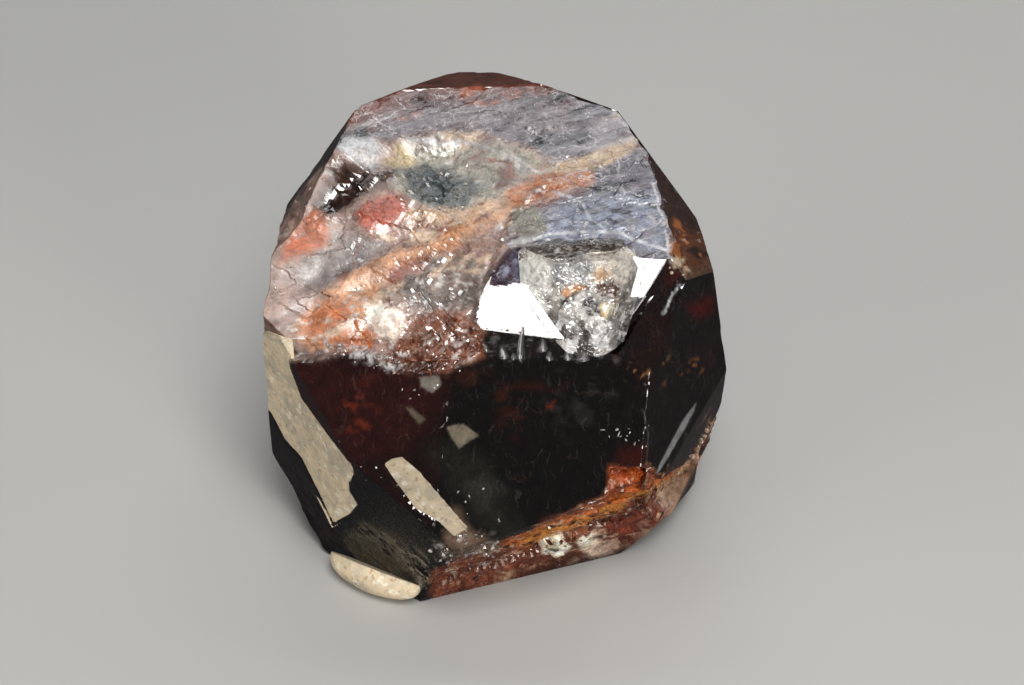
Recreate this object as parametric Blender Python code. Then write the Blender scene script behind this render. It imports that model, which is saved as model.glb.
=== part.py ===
"""Natural zircon crystal with three remnants of the pale feldspar it grew in.

The crystal is a closed solid cut from a block by its growth faces, then chipped and broken.
Modelling is done in millimetres with Z up, and everything is brought to metres at the end.
"""
import math

import bmesh
import bpy
from mathutils import Vector, noise

MILLIMETRE = 0.001
CENTRE = Vector((0.0, 0.0, 10.5))
BLOCK_SIZE = 60.0
FITTING_GAP = 0.3
FOOTPRINT_SHIFT = Vector((-0.07, -0.085, 0.0))

# Growth faces: compass direction each one looks to (0 front, 90 right), upward tilt, distance from CENTRE.
GROWTH_FACES = {
    "top": (20, 77, 9.9),
    "bevel": (5, 49, 9.8),
    "bevel_foot": (3, 41, 9.9),
    "front": (2, 25, 9.88),
    "front_left": (-10, 26, 10.15),
    "front_corner": (14, 44, 10.48),
    "right": (53, 12, 11.9),
    "right_low": (63, -12, 11.8),
    "right_top": (82, 57, 12.4),
    "right_shoulder": (70, 45, 12.9),
    "right_side": (104, 6, 10.4),
    "right_under": (112, -40, 12.6),
    "back_cap": (-178, 66, 12.9),
    "back_right_cap": (150, 46, 12.8),
    "back_right_bevel": (112, 30, 11.95),
    "back_right": (142, 6, 11.6),
    "back": (180, 22, 12.5),
    "back_low": (170, -28, 11.0),
    "back_left": (-155, -12, 11.4),
    "back_left_cap": (-146, 48, 13.4),
    "left_cap": (-127, 21, 11.5),
    "left_top": (-103, 33, 12.7),
    "left_slope": (-16, 57, 9.8),
    "left_side": (-97, 2, 10.9),
    "left_under": (-120, -45, 10.8),
    "left_foot": (-80, -24, 13.1),
    "front_left_low": (-52, -8, 11.6),
    "front_foot_left": (-36, -15, 11.8),
    "front_foot": (19, -30, 11.4),
    "right_foot": (58, -40, 13.1),
    "base": (0, -90, 10.5),
}

# The surface patches below are laid out on a plane leaning back so that it looks 40 degrees up.
# Their points are (x, height up that plane) in millimetres.
LAYOUT_TILT = 40.0

BROKEN_SLOPE = [
    (-12.5, 9.7), (-10.8, 13.5), (-8.6, 16.4), (-7.4, 17.1), (-6.1, 17.6), (-4.7, 18.0), (-3.2, 18.2),
    (-0.7, 18.3), (1.8, 17.4), (3.5, 16.4), (2.5, 15.2), (1.0, 13.9), (0.4, 12.5), (0.1, 11.4),
    (-0.7, 9.7), (-0.9, 8.7), (-0.5, 8.1), (-0.6, 7.2), (-1.6, 6.6), (-3.1, 6.2), (-4.6, 6.3),
    (-5.5, 6.8), (-7.2, 7.3), (-9.0, 6.7), (-10.0, 6.8), (-12.5, 7.3),
]
BROKEN_FOOT = [
    (-3.2, -4.0), (-0.7, -2.4), (1.3, -1.9), (3.3, -0.8), (5.6, 0.1), (5.8, 1.5), (7.8, 1.5), (8.3, 0.9),
    (10.0, 1.6), (11.3, 3.3), (12.8, 3.6), (12.8, -1.0), (10.0, -4.0), (3.4, -7.5), (-3.6, -7.5),
]
SUNK_BLOCK = [(5.7, 1.5), (7.7, 1.4), (7.5, -0.6), (5.7, -0.8)]
SUNK_BLOCK_DEPTH = 0.35

# Rounded lumps on the broken slope: x, height up the layout plane, radius, how far each stands out.
LUMPS = [
    (-5.4, 8.7, 1.0, 0.40),
    (-8.0, 9.0, 1.7, 0.30),
    (-10.4, 11.8, 1.5, 0.30),
    (-6.4, 13.9, 1.1, 0.18),
    (-3.4, 8.2, 0.9, 0.25),
    (-8.9, 13.8, 1.1, 0.22),
]

# Rough patches on the sides and back: compass direction, tilt, angular radius, greatest depth.
ROUGH_PATCHES = [
    (-128, 34, 17, 0.40),
    (-112, -10, 20, 0.40),
    (-162, 16, 22, 0.55),
    (178, -14, 26, 0.50),
    (128, 30, 20, 0.45),
    (98, -22, 22, 0.45),
]

# Shell-shaped chip in the bevel: centre (x, layout height), then the planes that scoop it out as
# bearing on the bevel (0 right, 90 up the slope), steepness, distance of the rim from the centre.
CHIP_CENTRE = (4.2, 10.0)
CHIP_PLANES = [
    (91, 60, 2.45),
    (22, 50, 3.2),
    (341, 42, 2.45),
    (305, 30, 2.8),
    (260, 14, 2.55),
    (212, 28, 1.95),
    (181, 34, 2.5),
    (136, 52, 3.4),
]

# Feldspar remnants, flush with the crystal and set in grooves.
LEFT_BAND = [
    (-11.2, 8.1), (-10.1, 7.7), (-10.0, 6.4), (-9.5, 4.9), (-8.1, 3.0), (-6.9, 1.5), (-6.9, 1.1),
    (-7.2, 0.6), (-7.2, 0.2), (-6.8, -0.5), (-7.3, -1.1), (-8.3, -1.7), (-8.8, -0.6), (-9.9, 1.7),
    (-10.8, 2.7), (-11.4, 4.0), (-12.6, 5.3), (-12.6, 7.2),
]
FRONT_BAND = [
    (-5.5, 1.7), (-5.0, 2.0), (-4.5, 2.1), (-3.6, 1.3), (-2.4, -0.1), (-1.2, -1.5), (-1.9, -2.0),
    (-2.8, -1.2), (-3.9, -0.6), (-4.7, 0.5),
]
BAND_THICKNESS = 1.1
LEFT_BAND_BACK = -2.7
LEFT_BAND_START = 5.5
FRONT_BAND_START = 8.5
FOOT_CENTRE = Vector((-6.15, -7.9, 1.25))
FOOT_HALF_SIZE = Vector((2.75, 1.15, 1.2))
FOOT_TURN = -31.0
FOOT_TOP_EDGE = [(-8.5, -3.1), (-3.7, -4.8)]
FOOT_CLEARANCE = 0.12

SLOPE_EDGE = 0.8
FOOT_EDGE = 1.0
CHIP_EDGE = 0.7
ROUGH_EDGE = 1.6
PLAIN_EDGE = 4.5


def clear_scene():
    for item in list(bpy.data.objects):
        bpy.data.objects.remove(item, do_unlink=True)


def look_direction(azimuth, tilt):
    turn = math.radians(azimuth)
    rise = math.radians(tilt)
    return Vector((math.cos(rise) * math.sin(turn), -math.cos(rise) * math.cos(turn), math.sin(rise)))


def layout_axes():
    tilt = math.radians(LAYOUT_TILT)
    up_plane = Vector((0.0, math.sin(tilt), math.cos(tilt)))
    towards_viewer = Vector((0.0, -math.cos(tilt), math.sin(tilt)))
    return up_plane, towards_viewer


def layout_point(point):
    up_plane, towards_viewer = layout_axes()
    return point.x, point.dot(up_plane)


def looks_forward(point):
    towards_viewer = layout_axes()[1]
    return (point - CENTRE).normalized().dot(towards_viewer) > -0.12


# ---- solids made by cutting a block -------------------------------------------------------------

def block(size, middle):
    solid = bmesh.new()
    bmesh.ops.create_cube(solid, size=size)
    bmesh.ops.translate(solid, verts=solid.verts[:], vec=middle)
    return solid


def slice_off(solid, point, outward):
    everything = solid.verts[:] + solid.edges[:] + solid.faces[:]
    cut = bmesh.ops.bisect_plane(
        solid, geom=everything, dist=1e-5, plane_co=point, plane_no=outward, clear_outer=True
    )
    rim = [item for item in cut["geom_cut"] if isinstance(item, bmesh.types.BMEdge)]
    if len(rim) > 2:
        bmesh.ops.contextual_create(solid, geom=rim)


def crystal_block(offset=0.0):
    """The unbroken crystal, every face moved outwards by offset."""
    solid = block(BLOCK_SIZE, CENTRE)
    for azimuth, tilt, distance in GROWTH_FACES.values():
        outward = look_direction(azimuth, tilt)
        slice_off(solid, CENTRE + outward * (distance + offset), outward)
    bmesh.ops.remove_doubles(solid, verts=solid.verts[:], dist=0.02)
    return solid


def point_on_face(name, x, layout_height):
    """The point of a growth face that has this x and this height on the layout plane."""
    azimuth, tilt, distance = GROWTH_FACES[name]
    outward = look_direction(azimuth, tilt)
    up_plane, towards_viewer = layout_axes()
    start = Vector((x, 0.0, 0.0)) + up_plane * layout_height
    along = (distance - (start - CENTRE).dot(outward)) / towards_viewer.dot(outward)
    return start + towards_viewer * along


def chip_cutter():
    azimuth, tilt, distance = GROWTH_FACES["bevel"]
    outward = look_direction(azimuth, tilt)
    rightward = Vector((math.cos(math.radians(azimuth)), math.sin(math.radians(azimuth)), 0.0))
    upward = outward.cross(rightward)
    middle = point_on_face("bevel", *CHIP_CENTRE)
    solid = block(12.0, middle + outward * 3.0)
    for bearing, steepness, reach in CHIP_PLANES:
        turn = math.radians(bearing)
        lean = math.radians(steepness)
        sideways = rightward * math.cos(turn) + upward * math.sin(turn)
        slice_off(solid, middle + sideways * reach, sideways * math.sin(lean) - outward * math.cos(lean))
    return solid


def grown_outline(outline, gap):
    """The outline moved outwards by gap; its points run clockwise seen from the front."""
    grown = []
    count = len(outline)
    for index in range(count):
        before = Vector(outline[index - 1])
        here = Vector(outline[index])
        after = Vector(outline[(index + 1) % count])
        first = (here - before).normalized()
        second = (after - here).normalized()
        first_normal = Vector((-first.y, first.x))
        second_normal = Vector((-second.y, second.x))
        middle = (first_normal + second_normal).normalized()
        stretch = 1.0 / max(0.6, middle.dot(first_normal))
        grown.append(tuple(here + middle * gap * stretch))
    return grown


def prism(outline, start, end):
    """A straight bar with this outline on the layout plane, running towards the viewer."""
    up_plane, towards_viewer = layout_axes()
    solid = bmesh.new()
    ring = []
    for x, height in outline:
        ring.append(solid.verts.new(Vector((x, 0.0, 0.0)) + up_plane * height + towards_viewer * start))
    face = solid.faces.new(ring)
    pushed = bmesh.ops.extrude_face_region(solid, geom=[face])
    moved = [item for item in pushed["geom"] if isinstance(item, bmesh.types.BMVert)]
    bmesh.ops.translate(solid, verts=moved, vec=towards_viewer * (end - start))
    bmesh.ops.recalc_face_normals(solid, faces=solid.faces[:])
    return solid


# ---- combining solids ---------------------------------------------------------------------------

def temporary_object(name, solid):
    mesh = bpy.data.meshes.new(name)
    bmesh.ops.recalc_face_normals(solid, faces=solid.faces[:])
    solid.to_mesh(mesh)
    item = bpy.data.objects.new(name, mesh)
    bpy.context.scene.collection.objects.link(item)
    return item


def settled(solid):
    """The same solid with its points and faces in a fixed order, so that every run gives one result."""
    solid.verts.index_update()
    ordered = sorted(solid.verts, key=lambda vert: [round(value, 3) for value in vert.co])
    place = {vert.index: position for position, vert in enumerate(ordered)}
    rings = []
    for face in solid.faces:
        ring = [place[vert.index] for vert in face.verts]
        first = ring.index(min(ring))
        rings.append(ring[first:] + ring[:first])
    outlines = [frozenset(ring) for ring in rings]
    copy = bmesh.new()
    verts = [copy.verts.new(vert.co) for vert in ordered]
    for ring in sorted(rings):
        if outlines.count(frozenset(ring)) == 1:  # two faces back to back have no thickness
            copy.faces.new([verts[position] for position in ring])
    solid.free()
    return copy


def combine(solid, tool, operation):
    """Exact boolean of two solids; both inputs are used up."""
    body = temporary_object("work_body", solid)
    cutter = temporary_object("work_cutter", tool)
    step = body.modifiers.new("combine", "BOOLEAN")
    step.operation = operation
    step.solver = "EXACT"
    step.object = cutter
    bpy.context.view_layer.update()
    graph = bpy.context.evaluated_depsgraph_get()
    mesh = bpy.data.meshes.new_from_object(body.evaluated_get(graph))
    result = bmesh.new()
    result.from_mesh(mesh)
    for item in (body, cutter):
        old_mesh = item.data
        bpy.data.objects.remove(item, do_unlink=True)
        bpy.data.meshes.remove(old_mesh)
    bpy.data.meshes.remove(mesh)
    solid.free()
    tool.free()
    result = settled(result)
    bmesh.ops.remove_doubles(result, verts=result.verts[:], dist=0.02)
    bmesh.ops.dissolve_degenerate(result, edges=result.edges[:], dist=0.02)
    return result


# ---- where the surface is broken ----------------------------------------------------------------

def distance_inside(outline, x, height):
    """Distance to an outline, positive inside it and negative outside."""
    nearest = 1e9
    inside = False
    for index in range(len(outline)):
        ax, ay = outline[index - 1]
        bx, by = outline[index]
        if (ay > height) != (by > height):
            if x < ax + (height - ay) * (bx - ax) / (by - ay):
                inside = not inside
        span_x = bx - ax
        span_y = by - ay
        along = ((x - ax) * span_x + (height - ay) * span_y) / (span_x * span_x + span_y * span_y)
        along = min(1.0, max(0.0, along))
        nearest = min(nearest, math.hypot(x - ax - along * span_x, height - ay - along * span_y))
    return nearest if inside else -nearest


def ramp(value, low, high):
    share = min(1.0, max(0.0, (value - low) / (high - low)))
    return share * share * (3.0 - 2.0 * share)


def flat_splinters(point, cell, stretch):
    """Depth pattern of flat splinters with small steps between them, from 0 to about 1."""
    leaned = Vector((point.x * 0.93 - point.z * 0.36, point.y, point.x * 0.36 + point.z * 0.93))
    scaled = Vector((leaned.x / (cell * stretch), leaned.y / cell, leaned.z / cell))
    seed = noise.voronoi(scaled)[1][0]
    lean = Vector([noise.noise(seed * 3.7 + Vector((shift, 0.0, 0.0))) for shift in (0.0, 31.0, 67.0)])
    level = noise.noise(seed * 5.3) * 0.9
    return 0.5 + level + (scaled - seed).dot(lean) * 0.8


def rising_bands(x, height):
    """Low ridges that climb to the right across the broken slope."""
    across = height - 0.42 * x
    return 0.5 + 0.5 * math.sin(across * 2.1 + math.sin(across * 0.9) * 1.4)


def lump_rise(x, height):
    rise = 0.0
    for middle_x, middle_height, radius, height_out in LUMPS:
        reach = math.hypot(x - middle_x, height - middle_height) / radius
        rise = max(rise, height_out * ramp(1.0 - reach, 0.0, 0.8))
    return rise


def slope_depth(point):
    x, height = layout_point(point)
    inside = distance_inside(BROKEN_SLOPE, x, height)
    if inside < -0.05:
        return 0.0
    edge = ramp(inside, -0.05, 0.42)
    fade = (0.35 + 0.65 * ramp(0.2 - x, 0.0, 3.0)) * (0.3 + 0.7 * ramp(x, -11.6, -9.4))
    splinters = flat_splinters(point, 1.9, 1.7)
    depth = 0.34 + 0.30 * splinters + 0.16 * rising_bands(x, height)
    return max(0.0, edge * fade * (depth - lump_rise(x, height)))


def foot_depth(point):
    x, height = layout_point(point)
    inside = distance_inside(BROKEN_FOOT, x, height)
    if inside < -0.05:
        return 0.0
    edge = ramp(inside, -0.05, 0.3)
    across = height - 0.35 * x + 0.5 * noise.noise(point * 0.5)
    terrace = math.floor(across / 1.4) % 2
    return edge * max(0.0, 0.14 + 0.34 * terrace + 0.30 * flat_splinters(point, 1.6, 1.6))


def patch_share(point):
    """How strongly a point belongs to a rough patch, with that patch's depth."""
    direction = (point - CENTRE).normalized()
    strongest = 0.0
    for azimuth, tilt, radius, depth in ROUGH_PATCHES:
        angle = math.degrees(direction.angle(look_direction(azimuth, tilt)))
        wander = 5.0 * noise.noise(point * 0.35)
        strongest = max(strongest, depth * ramp(radius - angle + wander, 0.0, 3.0))
    return strongest


def patch_depth(point):
    share = patch_share(point)
    if share <= 0.0:
        return 0.0
    return share * max(0.0, 0.45 + 0.55 * flat_splinters(point, 2.6, 1.5))


def broken_depth(point):
    """How far the surface is broken back at a point of the unbroken crystal."""
    if point.z < 0.02:
        return 0.0
    floor_fade = ramp(point.z, 0.0, 0.6)
    depth = patch_depth(point)
    if looks_forward(point):
        depth = max(depth, slope_depth(point), foot_depth(point))
    return depth * floor_fade


def in_chip(point):
    middle = point_on_face("bevel", *CHIP_CENTRE)
    return (point - middle).length < 3.4


def wanted_edge(point):
    """Longest triangle edge allowed at a point: short where the surface is broken."""
    if point.z < 0.02:
        return PLAIN_EDGE
    if looks_forward(point):
        x, height = layout_point(point)
        if distance_inside(BROKEN_SLOPE, x, height) > -SLOPE_EDGE:
            return SLOPE_EDGE
        if distance_inside(BROKEN_FOOT, x, height) > -FOOT_EDGE:
            return FOOT_EDGE
    if patch_share(point) > 0.0:
        return ROUGH_EDGE
    if in_chip(point):
        return CHIP_EDGE
    return PLAIN_EDGE


# ---- mesh refinement ----------------------------------------------------------------------------

def split_long_edges(solid, allowed):
    bmesh.ops.triangulate(solid, faces=solid.faces[:])
    for _ in range(12):
        long_edges = []
        for edge in solid.edges:
            middle = (edge.verts[0].co + edge.verts[1].co) / 2.0
            if edge.calc_length() > allowed(middle):
                long_edges.append(edge)
        if not long_edges:
            return
        bmesh.ops.subdivide_edges(solid, edges=long_edges, cuts=1)
        many_sided = [face for face in solid.faces if len(face.verts) > 3]
        bmesh.ops.triangulate(solid, faces=many_sided)


def push_in(solid, depth_at):
    """Moves every point towards CENTRE, which keeps the surface from crossing itself."""
    moves = []
    for vert in solid.verts:
        moves.append((vert, (vert.co - CENTRE).normalized() * depth_at(vert.co)))
    for vert, move in moves:
        vert.co -= move


def chip_depth(point):
    """Shallow shell ripples on the floor of the chip."""
    middle = point_on_face("bevel", *CHIP_CENTRE)
    outward = look_direction(*GROWTH_FACES["bevel"][:2])
    below = (middle - point).dot(outward)
    if below < 0.12 or (point - middle).length > 3.3:
        return 0.0
    splinters = flat_splinters(point, 0.9, 1.3)
    return 0.22 * ramp(below, 0.12, 0.5) * max(0.0, splinters)


# ---- the four pieces ----------------------------------------------------------------------------

def band_bar(outline, start, gap):
    """A bar standing behind a band's outline, ended where the band runs out on the left side."""
    bar = prism(grown_outline(outline, gap), start - gap, 22.0)
    slice_off(bar, Vector((0.0, LEFT_BAND_BACK + gap, 0.0)), Vector((0.0, 1.0, 0.0)))
    return bar


def feldspar_band(outline, start):
    solid = combine(band_bar(outline, start, 0.0), crystal_block(0.0), "INTERSECT")
    return combine(solid, crystal_block(-BAND_THICKNESS), "DIFFERENCE")


def band_groove(outline, start):
    bar = band_bar(outline, start, FITTING_GAP)
    return combine(bar, crystal_block(-BAND_THICKNESS - FITTING_GAP), "DIFFERENCE")


def foot_lens(extra):
    """The pale crescent at the foot, grown by extra all round: a lens cut off flat along its top."""
    solid = bmesh.new()
    bmesh.ops.create_icosphere(solid, subdivisions=3, radius=1.0)
    turn = math.radians(FOOT_TURN)
    for vert in solid.verts:
        direction = vert.co.normalized()
        local = Vector([direction[axis] * (FOOT_HALF_SIZE[axis] + extra) for axis in range(3)])
        across = local.x * math.sin(turn) + local.y * math.cos(turn)
        vert.co = FOOT_CENTRE + Vector((local.x * math.cos(turn) - local.y * math.sin(turn), across, local.z))
    up_plane = layout_axes()[0]
    start = Vector(FOOT_TOP_EDGE[0])
    run = (Vector(FOOT_TOP_EDGE[1]) - start).normalized()
    above = Vector((-run.y, 0.0, 0.0)) + up_plane * run.x
    slice_off(solid, Vector((start.x, 0.0, 0.0)) + up_plane * start.y + above * extra, above)
    return solid


def feldspar_foot():
    solid = foot_lens(0.0)
    slice_off(solid, Vector((0.0, 0.0, FOOT_CLEARANCE)), Vector((0.0, 0.0, -1.0)))
    return solid


def sunk_block_cutter():
    return combine(prism(SUNK_BLOCK, 4.0, 22.0), crystal_block(-SUNK_BLOCK_DEPTH), "DIFFERENCE")


def zircon_crystal():
    solid = combine(crystal_block(), chip_cutter(), "DIFFERENCE")
    solid = combine(solid, sunk_block_cutter(), "DIFFERENCE")
    split_long_edges(solid, wanted_edge)
    push_in(solid, lambda point: max(broken_depth(point), chip_depth(point)))
    solid = combine(solid, band_groove(LEFT_BAND, LEFT_BAND_START), "DIFFERENCE")
    solid = combine(solid, band_groove(FRONT_BAND, FRONT_BAND_START), "DIFFERENCE")
    solid = combine(solid, foot_lens(FITTING_GAP), "DIFFERENCE")
    return solid


def stone_material(name, colour, roughness, ior):
    material = bpy.data.materials.new(name)
    material.use_nodes = True
    shader = material.node_tree.nodes["Principled BSDF"]
    shader.inputs["Base Color"].default_value = (*colour, 1.0)
    shader.inputs["Roughness"].default_value = roughness
    shader.inputs["IOR"].default_value = ior
    return material


def finish(name, solid, material):
    """Triangulates, brings to metres and links a solid as the object called name."""
    bmesh.ops.triangulate(solid, faces=solid.faces[:])
    bmesh.ops.dissolve_degenerate(solid, edges=solid.edges[:], dist=0.02)
    bmesh.ops.triangulate(solid, faces=solid.faces[:])
    bmesh.ops.recalc_face_normals(solid, faces=solid.faces[:])
    bmesh.ops.translate(solid, verts=solid.verts[:], vec=FOOTPRINT_SHIFT)
    bmesh.ops.scale(solid, verts=solid.verts[:], vec=Vector((MILLIMETRE, MILLIMETRE, MILLIMETRE)))
    mesh = bpy.data.meshes.new(name)
    solid.to_mesh(mesh)
    solid.free()
    mesh.materials.append(material)
    item = bpy.data.objects.new(name, mesh)
    bpy.context.scene.collection.objects.link(item)
    return item


def build():
    clear_scene()
    zircon = stone_material("zircon_red_brown", (0.055, 0.018, 0.010), 0.12, 1.95)
    feldspar = stone_material("feldspar_cream", (0.56, 0.50, 0.40), 0.72, 1.53)
    finish("zircon_crystal", zircon_crystal(), zircon)
    finish("feldspar_band_left", feldspar_band(LEFT_BAND, LEFT_BAND_START), feldspar)
    finish("feldspar_band_front", feldspar_band(FRONT_BAND, FRONT_BAND_START), feldspar)
    finish("feldspar_foot", feldspar_foot(), feldspar)


build()
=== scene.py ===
import math

import bmesh
import bpy
import numpy as np
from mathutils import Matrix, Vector, noise


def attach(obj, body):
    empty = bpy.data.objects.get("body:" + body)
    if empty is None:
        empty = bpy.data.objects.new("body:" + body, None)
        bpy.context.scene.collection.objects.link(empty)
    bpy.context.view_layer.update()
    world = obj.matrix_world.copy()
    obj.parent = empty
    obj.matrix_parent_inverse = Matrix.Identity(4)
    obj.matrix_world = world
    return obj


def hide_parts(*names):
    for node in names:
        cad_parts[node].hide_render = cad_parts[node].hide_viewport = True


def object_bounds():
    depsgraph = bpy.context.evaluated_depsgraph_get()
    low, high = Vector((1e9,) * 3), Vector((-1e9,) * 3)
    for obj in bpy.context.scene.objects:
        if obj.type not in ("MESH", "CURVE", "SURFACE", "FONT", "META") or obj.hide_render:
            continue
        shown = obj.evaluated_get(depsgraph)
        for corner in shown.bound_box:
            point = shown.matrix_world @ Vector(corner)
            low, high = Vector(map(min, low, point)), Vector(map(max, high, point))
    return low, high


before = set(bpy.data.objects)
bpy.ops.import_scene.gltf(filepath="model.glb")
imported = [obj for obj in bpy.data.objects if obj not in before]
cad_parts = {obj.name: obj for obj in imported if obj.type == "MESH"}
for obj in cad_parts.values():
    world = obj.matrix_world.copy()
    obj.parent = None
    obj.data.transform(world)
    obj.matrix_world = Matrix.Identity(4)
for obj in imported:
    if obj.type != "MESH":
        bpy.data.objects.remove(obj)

# Zircon crystal with remnants of feldspar. Shapes are worked out in millimetres with Z up,
# and brought to metres when a piece is made. Everything rides on the one body, "root".
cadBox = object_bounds()
millimetre = 0.001

# Growth faces: compass direction (0 front, 90 right), upward tilt, distance from the centre in mm
crystal = {
    "centre": (0.0, 0.0, 10.5),
    "footprintShift": (-0.07, -0.085, 0.0),
    "blockSize": 60.0,
    "edgeRounding": 0.05,
    "faces": {
        "top": (20, 77, 9.9),
        "bevel": (5, 49, 9.8),
        "bevelFoot": (3, 41, 9.9),
        "front": (2, 25, 9.88),
        "frontLeft": (-10, 26, 10.15),
        "frontCorner": (14, 44, 10.48),
        "right": (53, 12, 11.9),
        "rightLow": (63, -12, 11.8),
        "rightTop": (82, 57, 12.4),
        "rightShoulder": (70, 45, 12.9),
        "rightSide": (104, 6, 10.4),
        "rightUnder": (112, -40, 12.6),
        "backCap": (-178, 66, 12.9),
        "backRightCap": (150, 46, 12.8),
        "backRightBevel": (112, 30, 11.95),
        "backRight": (142, 6, 11.6),
        "back": (180, 22, 12.5),
        "backLow": (170, -28, 11.0),
        "backLeft": (-155, -12, 11.4),
        "backLeftCap": (-146, 48, 13.4),
        "leftCap": (-127, 21, 11.5),
        "leftTop": (-103, 33, 12.7),
        "leftSlope": (-16, 57, 9.8),
        "leftSide": (-97, 2, 10.9),
        "leftUnder": (-120, -45, 10.8),
        "leftFoot": (-80, -24, 13.1),
        "frontLeftLow": (-52, -8, 11.6),
        "frontFootLeft": (-36, -15, 11.8),
        "frontFoot": (19, -30, 11.4),
        "rightFoot": (58, -40, 13.1),
        "base": (0, -90, 10.5),
    },
}
growthTurn = 27    # compass turn of the growth lines on the top, in degrees
faceNames = list(crystal["faces"])
chipFace, blockFace = len(faceNames), len(faceNames) + 1    # the cut faces of the chip and of the sunk block

# Patches are laid out on a plane that leans back and faces 40 degrees up: (x, height up that plane) in mm
layoutTilt = 40.0
zones = {
    "slope": [
        (-12.5, 9.7), (-10.8, 13.5), (-8.6, 16.4), (-7.4, 17.1), (-6.1, 17.6), (-4.7, 18.0), (-3.2, 18.2),
        (-0.7, 18.3), (1.8, 17.4), (3.5, 16.4), (2.5, 15.2), (1.0, 13.9), (0.4, 12.5), (0.1, 11.4),
        (-0.7, 9.7), (-0.9, 8.7), (-0.5, 8.1), (-0.6, 7.2), (-1.6, 6.6), (-3.1, 6.2), (-4.6, 6.3),
        (-5.5, 6.8), (-7.2, 7.3), (-9.0, 6.7), (-10.0, 6.8), (-12.5, 7.3),
    ],
    "foot": [
        (-3.2, -4.0), (-0.7, -2.4), (1.3, -1.9), (3.3, -0.8), (5.6, 0.1), (5.8, 1.5), (7.8, 1.5), (8.3, 0.9),
        (10.0, 1.6), (11.3, 3.3), (12.8, 3.6), (12.8, -1.0), (10.0, -4.0), (3.4, -7.5), (-3.6, -7.5),
    ],
    "sunkBlock": [(5.7, 1.5), (7.7, 1.4), (7.5, -0.6), (5.7, -0.8)],
    # glittering brown ledge at the lower right end of the slope
    "ledge": [(-5.4, 6.8), (-4.5, 7.5), (-3.6, 8.3), (-2.6, 8.9), (-1.4, 8.7), (-0.5, 8.1), (-0.4, 7.2),
              (-1.9, 6.5), (-3.1, 6.1), (-4.6, 6.2)],
    "slopeEdge": [(-8.2, 7.7), (-6.3, 7.5), (-4.8, 6.9), (-4.2, 6.0), (-5.8, 6.3), (-7.8, 7.0)],
    "cap": [(-8, 18.0), (-3.2, 19.4), (5.0, 20.4), (3.0, 23), (-9, 23)],
    "leanedBevel": [
        (-0.1, 10.5), (0.2, 11.6), (0.7, 12.4), (2.4, 12.4), (2.4, 10.4), (1.0, 10.7), (0.6, 10.5),
    ],
    "leanedRight": [(5.4, 9.9), (8.0, 9.9), (7.6, 7.0), (5.0, 6.8)],
}
relief = {
    "sunkBlockDepth": 0.35,
    # x, height up the layout plane, radius, how far each lump stands out
    "lumps": [
        (-5.4, 8.7, 1.0, 0.40),
        (-8.0, 9.0, 1.7, 0.30),
        (-10.4, 11.8, 1.5, 0.30),
        (-6.4, 13.9, 1.1, 0.18),
        (-3.4, 8.2, 0.9, 0.25),
        (-8.9, 13.8, 1.1, 0.22),
    ],
    # compass direction, tilt, angular radius, greatest depth
    "roughPatches": [
        (-128, 34, 17, 0.40),
        (-112, -10, 20, 0.40),
        (-162, 16, 22, 0.55),
        (178, -14, 26, 0.50),
        (128, 30, 20, 0.45),
        (98, -22, 22, 0.45),
    ],
    # depth of each layer: a base, large splinters (their size and stretch), and glassy facets on top
    "slope": {"base": 0.34, "splinters": 0.30, "size": (1.9, 1.7), "facets": 0.17, "bands": 0.16},
    "foot": {"base": 0.14, "splinters": 0.30, "size": (1.6, 1.6), "facets": 0.15, "terraces": 0.34},
    "patch": {"base": 0.45, "splinters": 0.55, "size": (2.6, 1.5), "facets": 0.3},
    "topFacets": 0.12,
    "topTerraces": 0.045,
    "sideTerraces": 0.03,
    "sideWaves": 0.03,
    "lowBreaks": 0.13,
    "edgeChips": 0.05,
}
# Shell-shaped chip in the bevel: bearing on the bevel (0 right, 90 up), steepness, distance of the rim
chip = {
    "centre": (4.2, 10.0),
    "cutterSize": 12.0,
    "planes": [
        (91, 60, 2.45),
        (22, 50, 3.2),
        (341, 42, 2.45),
        (305, 30, 2.8),
        (260, 14, 2.55),
        (212, 28, 1.95),
        (181, 34, 2.5),
        (136, 52, 3.4),
    ],
    "ledge": [(1.2, 12.5), (1.5, 12.25), (2.1, 12.0), (2.8, 11.75), (3.6, 11.8), (4.8, 12.1), (5.8, 12.15),
              (6.5, 12.4), (6.7, 12.9), (5.6, 13.4), (1.2, 13.4)],
    "glassThickness": 0.22,
    "calmFacets": 0.09,     # frosted upper half
    "sharpFacets": 0.3,     # splintered lower half
    "reach": 3.9,           # no part of the chip is further from its centre
    "fineReach": 3.4,       # fine mesh within this, and fairly fine mesh within the next
    "nearReach": 4.9,
}
# Longest triangle edges in mm
meshSize = {
    "slope": 0.23, "foot": 0.28, "chip": 0.14, "top": 0.27, "patch": 0.38, "bandEdge": 0.19,
    "plain": 0.48, "front": 0.4, "line": 0.19,
}
meshSize["base"] = 1.5


# Repeatable noise, worked out for many points at once

def hashNumber(cell, seed):  # one number from 0 to 1 for each whole-number cell
    mixed = cell[..., 0] * 73856093 ^ cell[..., 1] * 19349663 ^ cell[..., 2] * 83492791 ^ seed * 26544357
    mixed = ((mixed ^ mixed >> 13) & 0xffffffff) * 1274126177 & 0xffffffff
    return ((mixed ^ mixed >> 15) & 0xffffff) / 0xffffff


# turned, so that the lattice doesn't line up with a face
noiseTurn = np.array([[0.36, 0.48, -0.8], [-0.8, 0.6, 0.0], [0.48, 0.64, 0.6]])


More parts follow.
